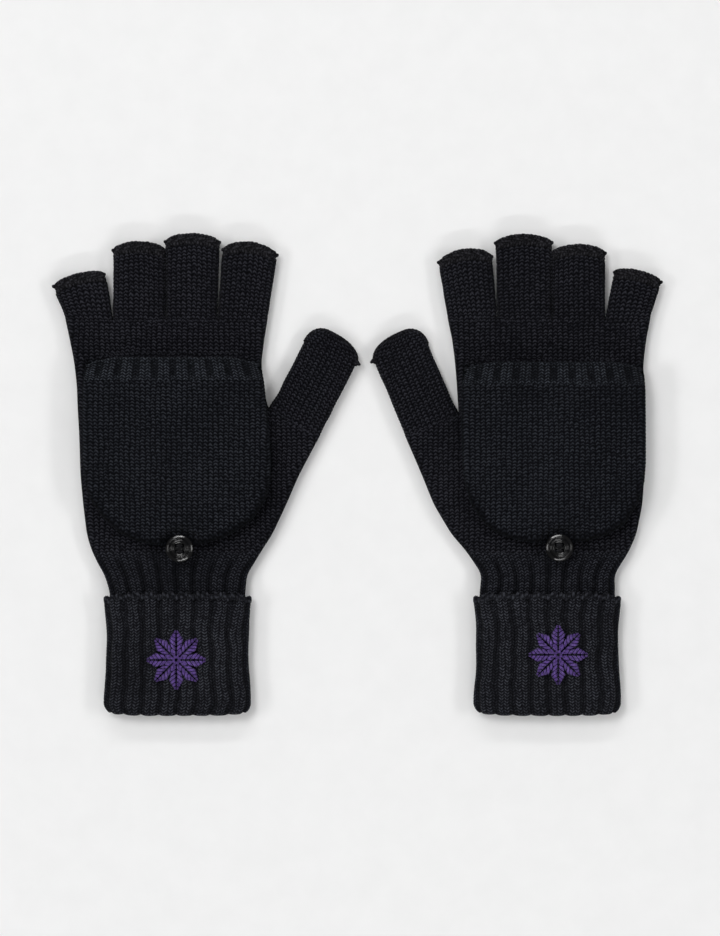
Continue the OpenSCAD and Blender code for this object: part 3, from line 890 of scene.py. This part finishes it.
def build_thumb(m):
    """The closed thumb, built along y from its root and then turned to its slant."""
    wide, tip = m.thumb_wide, m.thumb_tip
    lo, hi = m.box("thumb_tip_seam")
    centre = (lo[2] + hi[2]) / 2
    radius = centre
    foot = (m.corner - m.root[:2]) @ m.across
    # the sides run straight to these heights, and then round off to the summit
    shoulders = (0.78 * tip, 0.80 * tip)
    summit = 0.37 * wide

    def sides(y):
        fit = smooth(y / 10)
        left = 0.02 * wide * fit
        right = foot + (wide - foot) * fit
        bend = [np.clip((y - a) / (tip - a), 0, 1) for a in shoulders]
        bend = [1 - (1 - share ** ROUNDING) ** (1 / ROUNDING) for share in bend]
        left = left + (summit - 0.6 - left) * bend[0]
        right = right + (summit + 0.6 - right) * bend[1]
        return left, right

    def place(part):
        points, faces, uv = part
        xy = m.root[:2] + points[:, :1] * m.across + points[:, 1:2] * m.away
        return np.column_stack([xy, points[:, 2]]), faces, uv

    loop = knit_loop(wide / 2, radius)
    dome = np.sin(np.linspace(0, math.pi / 2, 56)[1:])
    y = np.concatenate([np.arange(-2.2, shoulders[0], COURSE / FINE),
                        shoulders[0] + (tip - shoulders[0]) * dome])
    left, right = sides(y)
    half = (right - left) / 2
    tall = radius * np.minimum(1, 0.25 + half / (0.42 * wide))
    u = np.arange(loop.count + 1) / FINE
    v = -y / COURSE
    off = RELIEF * (knit_height(u[None, :-1], v[:, None]) - 1)
    swell = 0.16 * wobble(loop.arc[None], y[:, None], 14, m.seed + 40) - 0.12
    off = off + swell * smooth(y / 6)[:, None] - 0.3 * smooth(-y)[:, None]
    off = off * np.minimum(1, half / 4)[:, None]
    grid = carry(loop, (left + right) / 2, half, centre - tall, centre + tall, y, off)
    part = capped(woven(grid, u, v, loop_cols=True), end_rows(len(y), loop.count),
                  ((0, v[0]), (0, v[-1])))
    obj = m.mesh("thumb_knit", place(part), HAND_YARN, None, "thumb_stall", "palm_knit", 0)
    start = m.root[:2] + m.across * wide / 2
    m.blend(obj, m.side + "_thumb", (*start, centre), (*(start + m.away * 16), centre))
    m.mesh("thumb_tip", place(tip_seam(sides, shoulders, tip, centre)), EDGE_YARN,
           m.side + "_thumb", "thumb_tip_seam", "edge_yarn")


def tip_seam(sides, shoulders, tip, centre):
    """The thumb's tip: small linked loops along its rounded edge, and a curled corner."""
    ramp = np.sin(np.linspace(0.1, math.pi / 2, 40))
    low = shoulders[0] + (tip - shoulders[0]) * ramp
    high = shoulders[1] + (tip - shoulders[1]) * ramp[::-1]
    line = np.concatenate([np.column_stack([sides(low)[0], low]),
                           np.column_stack([sides(high)[1], high])])
    run = run_of(line)
    count = int(run[-1] / 1.75)
    at = np.linspace(0, run[-1], count)
    c = np.stack([np.interp(at, run, line[:, 0]), np.interp(at, run, line[:, 1]),
                  np.full(count, centre)], 1)
    ahead = unit(np.gradient(c, axis=0))
    out = np.cross(UP, ahead)
    c = c - out * 0.5
    parts = [tube_along(c - out * 0.4, 1.3, 10)]
    for rise, heading in ((1.15, 0.7), (-1.15, -0.7)):
        way = ahead * math.cos(heading) + out * math.sin(heading)
        parts.append(strands(c + rise * UP, way, UP, 1.35, 0.7, 0.9))
    level = 0.5 * (shoulders[1] + tip * 0.85)
    corner = np.array([sides(level)[1], level, centre])
    for step in range(3):
        spot = corner + [0.65 * step - 0.1, 0.6 - 0.2 * step, 0.4]
        parts.append(strands([spot], [[1.0, 0.35, 0.1]], [UP], 1.3 - 0.2 * step,
                             1.1 - 0.2 * step, 1.2 - 0.25 * step))
    return join(parts)


# ---------- wrist and cuff ----------

def build_wrist(m):
    """The ribbed tube from the hand down inside the cuff, with its inner face."""
    hand_lo, hand_hi = m.box("hand_shell")
    cuff_top = m.box("cuff")[1][1]
    y_top = hand_lo[1] + RIB_TOP + 1.6
    y_low = m.box("wrist_rib")[0][1] + 0.2
    tube = m.corners("wrist_rib")
    tube_z = tube[tube[:, 1] < cuff_top, 2]
    # close rows down to where the cuff hides them, then wide ones
    hidden = cuff_top - 6
    shown = int(round((y_top - hidden) / (COURSE / 4)))
    y = np.concatenate([np.linspace(y_top, hidden, shown), np.linspace(hidden - 2, y_low, 12)])
    a, b = m.profile(y)
    t = smooth((hand_lo[1] - y) / (hand_lo[1] - cuff_top))
    section = np.stack([(a + b) / 2, (b - a) / 2, (1 - t) * hand_lo[2] + t * tube_z.min(),
                        (1 - t) * hand_hi[2] + t * tube_z.max()])
    per_rib = 16
    loop = Loop(section[1].mean(), (section[3] - section[2]).mean() / 2, RIBS * per_rib)
    phase = np.arange(loop.count + 1) / per_rib
    ridge = rib_height(phase[None, :-1])
    v = -y / RIB_COURSE
    fade = smooth((y_top - y) / 8)[:, None]
    off = (0.1 - 0.5 * smooth((y - y_top + 0.8) / 0.8)[:, None] + 1.6 * (ridge - 1) * fade
           + 0.8 * RELIEF * rib_stitch(phase[None, :-1], v[:, None]))
    outer = carry(loop, *section, y, off)
    y_in = np.linspace(y_low, y_top, 8)
    inner = carry(loop, *[np.interp(y_in, y[::-1], row[::-1]) for row in section], y_in,
                  -HAND_WALL - 0.7)
    part = woven(np.concatenate([outer, inner]), rib_cells(phase),
                 [*v, *(-y_in / RIB_COURSE), v[0]], True, True)
    # painted shade in the rib grooves as the ribs fade in, and full painted shade on the inner face
    sunk = (1 - ridge) ** 1.5 * fade * 0.8
    painted_shade = np.concatenate([sunk.ravel(), np.ones(inner.size // 3)])
    m.mesh("wrist_knit", part, WRIST_YARN, m.body, "wrist_rib", "rib_knit", painted_shade)


def build_cuff(m):
    """The outer layer of the turned-up cuff, its fold, and the way back up inside."""
    lo, hi = m.box("cuff")
    half = (hi[0] - lo[0]) / 2
    fold, top = lo[1], hi[1]
    per_rib = 18
    loop = Loop(half, (hi[2] - lo[2]) / 2, RIBS * per_rib)
    wall = 1.75
    # rows from the free edge down the outside, round the fold and back up inside
    turn = np.linspace(0, math.pi, 9)[1:]
    y_out = np.arange(top - 0.6, fold + wall + 0.2, -COURSE / 3)
    y_in = np.linspace(fold + wall + 1, fold + 9, 6)
    y_back = np.linspace(fold + 9, top - 0.6, 5)[1:]
    y = np.concatenate([y_out, fold + wall * (1 - np.sin(turn)) + 0.1, y_in, y_back])
    facing = np.concatenate([np.ones(len(y_out)), np.cos(turn) * 0.5 + 0.5,
                             np.zeros(len(y_in) + len(y_back))])
    off = 2 * wall * (facing - 1)
    off[-len(y_back):] = -2.2
    t = np.clip((top - y) / (top - fold), 0, 1)
    v = y / RIB_COURSE
    drift = (0.10 * wobble(loop.arc[None] / 3, y[:, None], 26, m.seed + 9)
             + 0.05 * wobble(loop.arc[None], y[:, None], 9, m.seed + 10))
    phase = np.arange(loop.count)[None] / per_rib + drift
    ridge = rib_height(phase)
    relief = 1.5 * (ridge - 1) + 0.9 * RELIEF * rib_stitch(phase, v[:, None])
    sway = 0.3 * wobble(loop.arc[None], y[:, None], 30, m.seed + 9)
    # it is narrow half-way down, and its corners round off at the fold and at the free edge
    waist = 1.5 * np.sin(math.pi * np.clip(1.15 * t, 0, 1)) ** 2
    bottom = np.clip((t - 0.9) / 0.1, 0, 1)
    brim = np.clip(1 - t / 0.07, 0, 1)
    spread = half + 0.2 - waist - 2.2 * bottom ** 2 * facing - 1.3 * brim ** 2
    grid = carry(loop, 0, spread, lo[2], hi[2], y,
                 off[:, None] + (relief + sway - 0.1) * facing[:, None])
    scallop = np.sin(bottom * math.pi / 2)[:, None] * (0.6 - 1.5 * ridge)
    reach = np.abs(grid[:, :, 0] / half)
    grid[:, :, 1] += (0.45 * scallop + 2.2 * bottom[:, None] * reach ** 5
                      - 3.0 * brim[:, None] * reach ** 6)
    turns = np.arange(loop.count + 1)[None] / per_rib + np.pad(drift, ((0, 1), (0, 1)), "wrap")
    part = woven(grid, rib_cells(turns), [*v, v[0]], True, True)
    # painted shade in the rib grooves on the outer face
    painted_shade = 0.8 * (1 - ridge) ** 1.4 * facing[:, None]
    m.mesh("cuff_knit", part, RIB_YARN, m.body, "cuff", "rib_knit", painted_shade.ravel())
    build_cuff_edge(m, half, lo[2], hi[2], top)


def build_cuff_edge(m, half, low, high, top):
    """The cuff's free edge: one row of small loops that follows the ribs."""
    radius = (high - low) / 2
    per_rib = 4
    width = half - 1.0

    def round_edge(loop, y, off):
        line = carry(loop, 0, width, low, high, y, off)[0]
        line[:, 1] -= 3.0 * np.abs(line[:, 0] / half) ** 6
        return line

    loop = Loop(width, radius, RIBS * per_rib)
    ridge = rib_height(np.arange(loop.count) / per_rib)
    ring = round_edge(loop, top - 1.7, 0.15 + 0.7 * (ridge - 1)[None])
    ring[:, 1] += 1.2 * ridge - 0.6
    lean = np.where(np.arange(loop.count) % 2 == 0, 0.5, -0.3)[:, None]
    size = np.random.RandomState(m.seed + 3).uniform(0.9, 1.1, loop.count)
    loops = strands(ring, round_way(ring) * lean + FORTH, loop.out, 2.1 * size, 0.85 * size, size)
    core = tube_along(round_edge(Loop(width, radius, 120), top - 2.0, -1.0), 1.25, closed=True)
    m.mesh("cuff_edge_row", join([loops, core]), CUFF_EDGE_YARN, m.body, "cuff_edge", "edge_yarn")


def build_star(m):
    """Satin-stitch star: each half of a point is a row of slanting bars from its spine, and
    each bar is a few threads side by side."""
    lo, hi = m.box("cuff_star")
    reach = (hi[0] - lo[0]) / 2
    centre = (lo + hi) / 2
    centre[2] = lo[2] + 0.3
    bars, threads = 7, 3
    pitch = reach / (bars + 0.3)
    along = (np.arange(bars)[:, None] + 0.35 + 0.24 * np.arange(threads)[None]).ravel() * pitch
    t = along / reach
    # a point widens out to half-way along, and then narrows to its tip
    wide = reach * np.where(t < 0.5, 0.05 + 0.17 * t / 0.5, 0.22 * (1.02 - t) / 0.52)
    gap = 0.25
    parts = []
    for k in range(STAR_POINTS):
        angle = TAU / STAR_POINTS * k
        ahead = np.array([math.cos(angle), math.sin(angle), 0])
        for side in (-1, 1):
            left = np.cross(UP, ahead) * side
            start = ahead * along[:, None] + left * gap
            end = ahead * 0.97 * (along + 0.9 * wide)[:, None] + left * (gap + wide)[:, None]
            length = np.linalg.norm(end - start, axis=1) / 2 + 0.1
            parts.append(strands(centre + (start + end) / 2, end - start, UP + left * 0.3, length,
                                 0.3, 0.42))
    m.mesh("cuff_motif", join(parts), PURPLE, m.body, "cuff_star", "embroidery")


# ---------- flap ----------

def flap_outline(m):
    """The flap's two sides, each from the middle of its tip to the hinge."""
    tip = m.box("flap_back_panel")[0][1]
    top = m.box("flap_side_seam")[1][1] - 0.1
    ys = np.append(np.arange(tip + 0.02, top, 2.5), top)
    at = m.slicer("flap_side_seam")
    spans = np.array([at(y) for y in ys])
    ends = m.slicer("flap_back_panel")(m.hinge - 0.05)
    lines = []
    for k in (0, 1):
        line = np.column_stack([spans[:, k], ys])
        lines.append(chaikin([[spans[0].mean(), tip], *line, [ends[k], m.hinge]], 3))
    return lines


def build_flap(m):
    """The flap: two panels that meet round its outline, an edge chain and a ribbed mouth."""
    mid = m.hinge_z
    low = m.box("flap_back_panel")[0][2]
    radius = mid - low
    sides = flap_outline(m)
    lo, hi = m.box("button")
    button = (lo + hi) / 2
    dent = (hi[0] - lo[0]) / 2 + 0.5
    tip = sides[0][:, 1].min()

    def press(x, y, z, upper):
        """The button presses the flap's tip down."""
        away = np.hypot(x - button[0], y - button[1])
        push = 1 - smooth((away - dent) / 5)
        squash = low + 0.1 + (z - low) * 0.37
        return z + ((squash if upper else np.minimum(z, squash)) - z) * push

    def palm(flat, moved, rise, dist):
        stitch = RELIEF * (knit_height(flat[:, 0] / WALE, -flat[:, 1] / COURSE) - 1)
        sag = 0.22 * wobble(flat[:, 0], flat[:, 1], 40, m.seed + 2)
        swell = (radius + sag + 0.35 * (1 - np.exp(-dist / 14)) - 0.5) * rise
        top = press(*moved.T, mid + swell + stitch * rise, True)
        under = press(*moved.T, mid + np.maximum(0, swell - FLAP_WALL), True)
        return top, np.minimum(under, top - 0.3 * (rise > 0))

    def back(flat, moved, rise, dist):
        stitch = 0.6 * RELIEF * (knit_height(flat[:, 0] / WALE, flat[:, 1] / COURSE) - 1)
        under = press(*moved.T, mid - radius * rise - stitch * rise, False)
        over = press(*moved.T, mid - np.maximum(0, radius * rise - FLAP_WALL), True)
        return np.maximum(over, under + 0.3 * (rise > 0)), under

    def panel(layer, top, step_x, step_y, skins):
        """One layer of the flap, up to a height where it joins the mouth or the hand."""
        lines = [np.concatenate([side[side[:, 1] < top],
                                 [[np.interp(top, side[:, 1], side[:, 0]), top]]])
                 for side in sides]
        free = np.concatenate([segments(line) for line in lines])
        cut = segments([line[-1] for line in lines])
        (points, faces, uv), away = slab(free, cut, step_x, step_y, radius, skins)
        # painted shade on the rolled rim, deepest at the flap's tip
        low_down = smooth((tip + 42 - points[:, 1]) / 26)
        painted_shade = (0.35 + 0.65 * low_down) * np.exp(-(away / (0.9 + 1.9 * low_down)) ** 2)
        m.mesh(f"flap_{layer}_knit", (points, faces, uv / [WALE, -COURSE]), FLAP_YARN, m.flap,
               f"flap_{layer}_panel", "flap_knit", painted_shade)

    panel("palm", m.hinge - WELT_LEN, WALE / FINE, COURSE / FINE, palm)
    panel("back", m.hinge - 0.3, WALE / 2, COURSE / 2, back)
    build_flap_side(m, sides, press)
    build_welt(m, sides, radius)


def build_flap_side(m, sides, press):
    """The flap's side: a chain of edge stitches round its outline."""
    line = np.concatenate([sides[0][::-1], sides[1][1:]])
    line = line[line[:, 1] < m.hinge - 5]
    run = run_of(line)
    count = int(run[-1] / (COURSE * 1.05))
    at = np.linspace(run[0] + 1, run[-1] - 1, count)
    x = np.interp(at, run, line[:, 0])
    y = np.interp(at, run, line[:, 1])
    ahead = unit(np.stack([np.gradient(x), np.gradient(y), np.zeros(count)], 1))
    out = np.cross(ahead, UP)
    spots = np.stack([x, y, press(x, y, np.full(count, m.hinge_z), True)], 1) - out * 0.55
    parts = [strands(spots + 0.55 * layer * UP, ahead + 0.5 * layer * UP, out, 1.25, 0.6, 0.72)
             for layer in (1, -1)]
    # its dark yarn is painted shade along the flap's edge
    m.mesh("flap_side_chain", join(parts), FLAP_SIDE_SHADED_YARN, m.flap, "flap_side_seam", "flap_knit")


def build_welt(m, sides, radius):
    """The ribbed mouth of the flap: round ribs and a thin rolled edge."""
    hinge = m.hinge
    left, right = [side[-1, 0] for side in sides]
    per_rib = 14
    count = WELT_RIBS * per_rib + 1
    # half a loop, over the top from one side of the flap to the other
    loop = Loop((right - left) / 2 + 0.25, radius, count, start=0.25, share=0.5)
    wall = 0.95
    turn = np.linspace(0, math.pi, 8)[1:]
    y_out = np.arange(hinge - WELT_LEN - 0.6, hinge - 0.9, COURSE / 3)
    y_in = np.linspace(hinge - 1, hinge - WELT_LEN - 0.6, 6)
    y = np.concatenate([y_out, hinge - 0.9 + wall * np.sin(turn) * 1.4, y_in])
    facing = np.concatenate([np.ones(len(y_out)), 0.5 + 0.5 * np.cos(turn), np.zeros(len(y_in))])
    phase = np.arange(count + 1) / per_rib
    ridge = rib_height(phase[None, :-1])
    v = -y / RIB_COURSE
    # ribs end under a thin rolled edge, and start under the plain knitting
    from_mouth = hinge - y
    roll = np.exp(-((from_mouth - 0.2) / 1.1) ** 2)
    tuck = smooth((WELT_LEN - from_mouth) / 3.5)
    deep = (1 - 0.75 * roll) * (0.15 + 0.85 * tuck)
    neck = -0.9 * np.exp(-((from_mouth - 2.1) / 0.7) ** 2)
    lift = 0.15 + 0.35 * roll + neck - 0.25 * (1 - tuck)
    off = (2.1 * (ridge - 1) * deep[:, None] + lift[:, None]
           + 0.9 * RELIEF * rib_stitch(phase[None, :-1], v[:, None]))
    # the ribs run down along the flap's own sides
    start, stop = [np.interp(y, side[:, 1], side[:, 0]) for side in sides]
    centre = (start + stop) / 2
    half = (stop - start) / 2 + 0.25
    grid = carry(loop, centre, half, m.hinge_z - radius, m.hinge_z + radius, y,
                 2 * wall * (facing - 1)[:, None] + off * facing[:, None])
    # the mouth bows down at both ends, and the ribs fan out below it
    reach = (grid[:, :, 0] - centre[:, None]) / half[:, None]
    ends = np.clip((np.abs(reach) - 0.66) / 0.34, 0, 1)
    high_up = (1 - from_mouth / WELT_LEN)[:, None]
    grid[:, :, 1] -= 3.8 * ends ** 1.6 * np.clip(high_up, 0, 1)
    grid[:, :, 0] -= 1.5 * reach * np.clip((1 - np.abs(reach)) / 0.25, 0, 1) * high_up
    part = capped(woven(grid, rib_cells(phase), [*v, v[0]], loop_rows=True),
                  end_columns(len(y), count))
    # painted shade in the rib grooves, less under the rolled edge; none on the end caps
    painted_shade = (1 - ridge) ** 1.2 * (deep * facing)[:, None]
    m.mesh("flap_welt", part, FLAP_RIB_YARN, m.flap, "flap_rib_welt", "rib_knit",
           [*painted_shade.ravel(), 0, 0])


def build_flap_root(m):
    """The picked-up row: a strip of knitting that turns from the hand into the flap."""
    lo, hi = m.box("flap_seam")
    a, b = lo[0] + 1, hi[0] - 1
    top = m.box("hand_shell")[1][2]
    flap_low = m.box("flap_back_panel")[0][2]
    cols = int((b - a) / (WALE / FINE)) + 1
    x = np.linspace(a, b, cols)[None]
    t = np.linspace(0, 1, 13)[:, None]
    y = m.hinge + 3.0 - 7.0 * t
    z = (top - 0.5 + (flap_low + 0.35 - top + 0.5) * smooth(t)
         + 0.5 * RELIEF * knit_height(x / WALE, y / COURSE))
    upper = np.stack(np.broadcast_arrays(x, y, z), 2)
    grid = np.concatenate([upper, (upper - 0.9 * UP)[::-1]])
    part = woven(grid, np.arange(cols) / FINE, grid[[*range(len(grid)), 0], 0, 1] / COURSE, True)
    # a little painted shade all over the strip
    obj = m.mesh("flap_root", capped(part, end_columns(len(grid), cols)), HAND_YARN, None,
                 "flap_seam", "edge_yarn", 0.2)
    m.blend(obj, m.flap, ((a + b) / 2, m.hinge + 2.5, top), ((a + b) / 2, m.hinge - 3.5, top))


# ---------- button ----------

def build_button(m):
    """A four-hole button: a rim, a bead inside it, and a dish for the thread."""
    lo, hi = m.box("button")
    centre = (lo + hi) / 2
    r = (hi[0] - lo[0]) / 2
    tall = hi[2] - lo[2]
    # half section from the middle of the underside round to the middle of the dish
    section = chaikin([(0.0, 0.0), (r * 0.6, 0.0), (r * 0.86, 0.15), (r * 0.965, 0.6), (r, 1.1),
                       (r * 0.99, tall - 0.95), (r * 0.97, tall - 0.68), (r * 0.89, tall - 0.34),
                       (r * 0.81, tall - 0.03), (r * 0.78, tall), (r * 0.74, tall - 0.1),
                       (r * 0.69, tall * 0.82), (r * 0.66, tall * 0.77), (r * 0.63, tall * 0.775),
                       (r * 0.58, tall * 0.86), (r * 0.55, tall * 0.86), (r * 0.44, tall * 0.68),
                       (r * 0.38, tall * 0.63), (0.0, tall * DISH)])[1:-1]
    sides = 96
    rows = len(section)
    ang = TAU * np.arange(sides) / sides
    grid = np.stack([centre[0] + np.outer(section[:, 0], np.cos(ang)),
                     centre[1] + np.outer(section[:, 0], np.sin(ang)),
                     lo[2] + np.repeat(section[:, 1:], sides, 1)], 2)
    part = capped(woven(grid, np.arange(sides + 1) / sides, np.arange(rows) / rows, loop_cols=True),
                  end_rows(rows, sides))
    obj = m.mesh("button_disc_body", part, BLACK, None, "button", "button_black")
    drill(m, obj, [centre[0], centre[1], lo[2]], tall)
    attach(obj, m.side + "_button_disc")
    build_button_threads(m, [centre[0], centre[1], lo[2] + tall * DISH])


def drill(m, obj, base, tall):
    """Cuts the four thread holes through a button."""
    depths = np.linspace(-1, tall + 1, 4)[:, None] * UP
    parts = []
    for k in range(4):
        angle = TAU * (k + 0.5) / 4
        spot = np.array(base) + [HOLE_AT * math.cos(angle), HOLE_AT * math.sin(angle), 0]
        parts.append(tube_along(spot + depths, HOLE_R, 24))
    points, faces, uv = join(parts)
    punch = make_mesh(m.side + "_drill", outward(m.world(points), faces, uv), BLACK)
    modifier = obj.modifiers.new("holes", "BOOLEAN")
    modifier.object = punch
    modifier.operation = "DIFFERENCE"
    modifier.solver = "EXACT"
    seen = obj.evaluated_get(bpy.context.evaluated_depsgraph_get())
    mesh = bpy.data.meshes.new_from_object(seen)
    obj.modifiers.clear()
    obj.data = mesh
    bpy.data.objects.remove(punch)


def build_button_threads(m, dish):
    """Thread through the holes, and the thread neck that holds the button off the knitting."""
    off = HOLE_AT * math.sqrt(0.5)
    fine, thick = 0.24, 0.42
    s = np.linspace(-1, 1, 15)
    parts = []
    # two bars of three strands, each sagging into a hole at both ends
    for side in (-1, 1):
        for strand in (-1, 0, 1):
            x = s * (off + 0.12)
            y = side * off + 0.27 * strand * (1 - 0.5 * s ** 2)
            z = 0.2 - 2.0 * np.abs(s) ** 9 + 0.12 * (strand == 0)
            parts.append(tube_along(dish + np.stack([x, y, z], 1), fine))
    m.mesh("button_thread", join(parts), THREAD, m.side + "_button_disc", "button_stitch",
           "button_thread")
    lo, hi = m.box("button_shank")
    r = (hi[0] - lo[0]) / 2 - 0.35
    t = np.linspace(0, 1, 90)
    turns = 4
    coil = np.stack([dish[0] + r * np.cos(TAU * turns * t), dish[1] + r * np.sin(TAU * turns * t),
                     lo[2] + 0.2 + (hi[2] - lo[2] - 0.5) * t], 1)
    core = [[dish[0], dish[1], z] for z in np.linspace(lo[2] - 0.4, hi[2], 5)]
    m.mesh("button_neck", join([tube_along(coil, thick), tube_along(core, r, 16)]), THREAD,
           m.body, "button_shank", "button_thread")


def build_loop(m):
    """Twisted yarn loop from the flap's tip round the button's neck."""
    centre = np.mean(m.box("button"), 0)
    lo, hi = m.box("button_loop")
    z = (lo[2] + hi[2]) / 2
    r = (hi[0] - lo[0]) / 2 - 0.75
    plies, ply_radius, twist_radius = 3, 0.4, 0.36
    gap = 0.95
    sweep = np.linspace(-0.86 * math.pi, -2.14 * math.pi, 46)
    ring = np.stack([centre[0] + r * np.cos(sweep), centre[1] + r * np.sin(sweep),
                     np.full(46, z)], 1)
    # both ends run up to the flap's tip and draw together there
    tails = []
    for x, y, _ in (ring[0], ring[-1]):
        s = np.linspace(0, 1, 8)[1:]
        gather = centre[0] + np.sign(x - centre[0]) * gap
        tails.append(np.stack([x + (gather - x) * smooth(s), y + (hi[1] - y) * s,
                               np.full(7, z)], 1))
    path = np.concatenate([tails[0][::-1], ring, tails[1]])
    side = np.cross(unit(np.gradient(path, axis=0)), UP)
    parts = []
    for ply in range(plies):
        ang = (run_of(path) * 2.4 + TAU * ply / plies)[:, None]
        around = np.cos(ang) * side + np.sin(ang) * UP
        parts.append(tube_along(path + twist_radius * around, ply_radius))
    m.mesh("flap_loop", join(parts), EDGE_YARN, m.flap, "button_loop", "edge_yarn")


# ---------- the pair ----------

for side_name in ("left", "right"):
    mitten = Mitten(side_name)
    mitten.profile = body_profile(mitten)
    measure_thumb(mitten)
    build_hand(mitten)
    for number in range(len(FINGERS)):
        build_finger(mitten, number)
    for build in (build_thumb, build_wrist, build_cuff, build_star, build_flap, build_flap_root,
                  build_button, build_loop):
        build(mitten)


# ---------- floor, light and camera ----------

def area(name, place, size, power):
    """A rectangular light, in metres and watts, that faces the middle of the floor."""
    data = bpy.data.lights.new(name, "AREA")
    data.shape = "RECTANGLE"
    data.size, data.size_y = size
    data.energy = power
    light = bpy.data.objects.new(name, data)
    bpy.context.scene.collection.objects.link(light)
    light.location = place
    x, y, z = place
    light.rotation_euler = (math.acos(z / math.hypot(x, y, z)), 0, math.atan2(-y, -x) - math.pi / 2)
    return light


def build_stage():
    """A pale floor, a high key light, soft lights at the sides, and strips that glint."""
    bpy.ops.mesh.primitive_plane_add(size=8.0, location=(0, 0, 0))
    floor = bpy.context.object
    floor.name = "floor"
    p = Paint("pale_floor", 0.9, Specular_IOR_Level=0.1)
    grey = p.ramp(p.noise(60.0, 2.0), (0.3, (0.84, 0.84, 0.84)), (0.7, (0.86, 0.86, 0.86)))
    p.set(p.shader, "Base Color", grey)
    floor.data.materials.append(p.mat)
    area("key", (-2.3, 2.4, 5.0), (2.0, 2.0), 115.0)
    for side, name in ((-1, "left"), (1, "right")):
        area(name + "_soft", (3.0 * side, 0, 2.2), (1.5, 0.6), 29.0)
    for side, name in ((-1, "near"), (1, "far")):
        area(name + "_strip", (-0.3 * side, 1.9 * side, 1.35), (2.0, 0.06), 12.0)
        sparkle = area(name + "_sparkle", (-0.35 * side, 1.9 * side, 1.35), (1.5, 0.25), 26.0)
        sparkle.visible_diffuse = False
    world = bpy.data.worlds.new("studio")
    bpy.context.scene.world = world
    world.use_nodes = True
    background = world.node_tree.nodes["Background"]
    background.inputs["Color"].default_value = (1, 1, 1, 1)
    background.inputs["Strength"].default_value = 0.31


def build_camera():
    """Straight down over the pair, as far off as a product photographer would stand."""
    height = 1.7
    frame_tall = 0.468
    data = bpy.data.cameras.new("camera")
    data.sensor_fit = "VERTICAL"
    data.sensor_height = 24
    data.lens = data.sensor_height * height / frame_tall
    camera = bpy.data.objects.new("camera", data)
    bpy.context.scene.collection.objects.link(camera)
    # the photo's middle is a little off the middle of the pair
    camera.location = (0.00125, 0.00325, height + 0.008)
    bpy.context.scene.camera = camera


build_stage()
build_camera()
bpy.context.scene.view_settings.view_transform = "Standard"
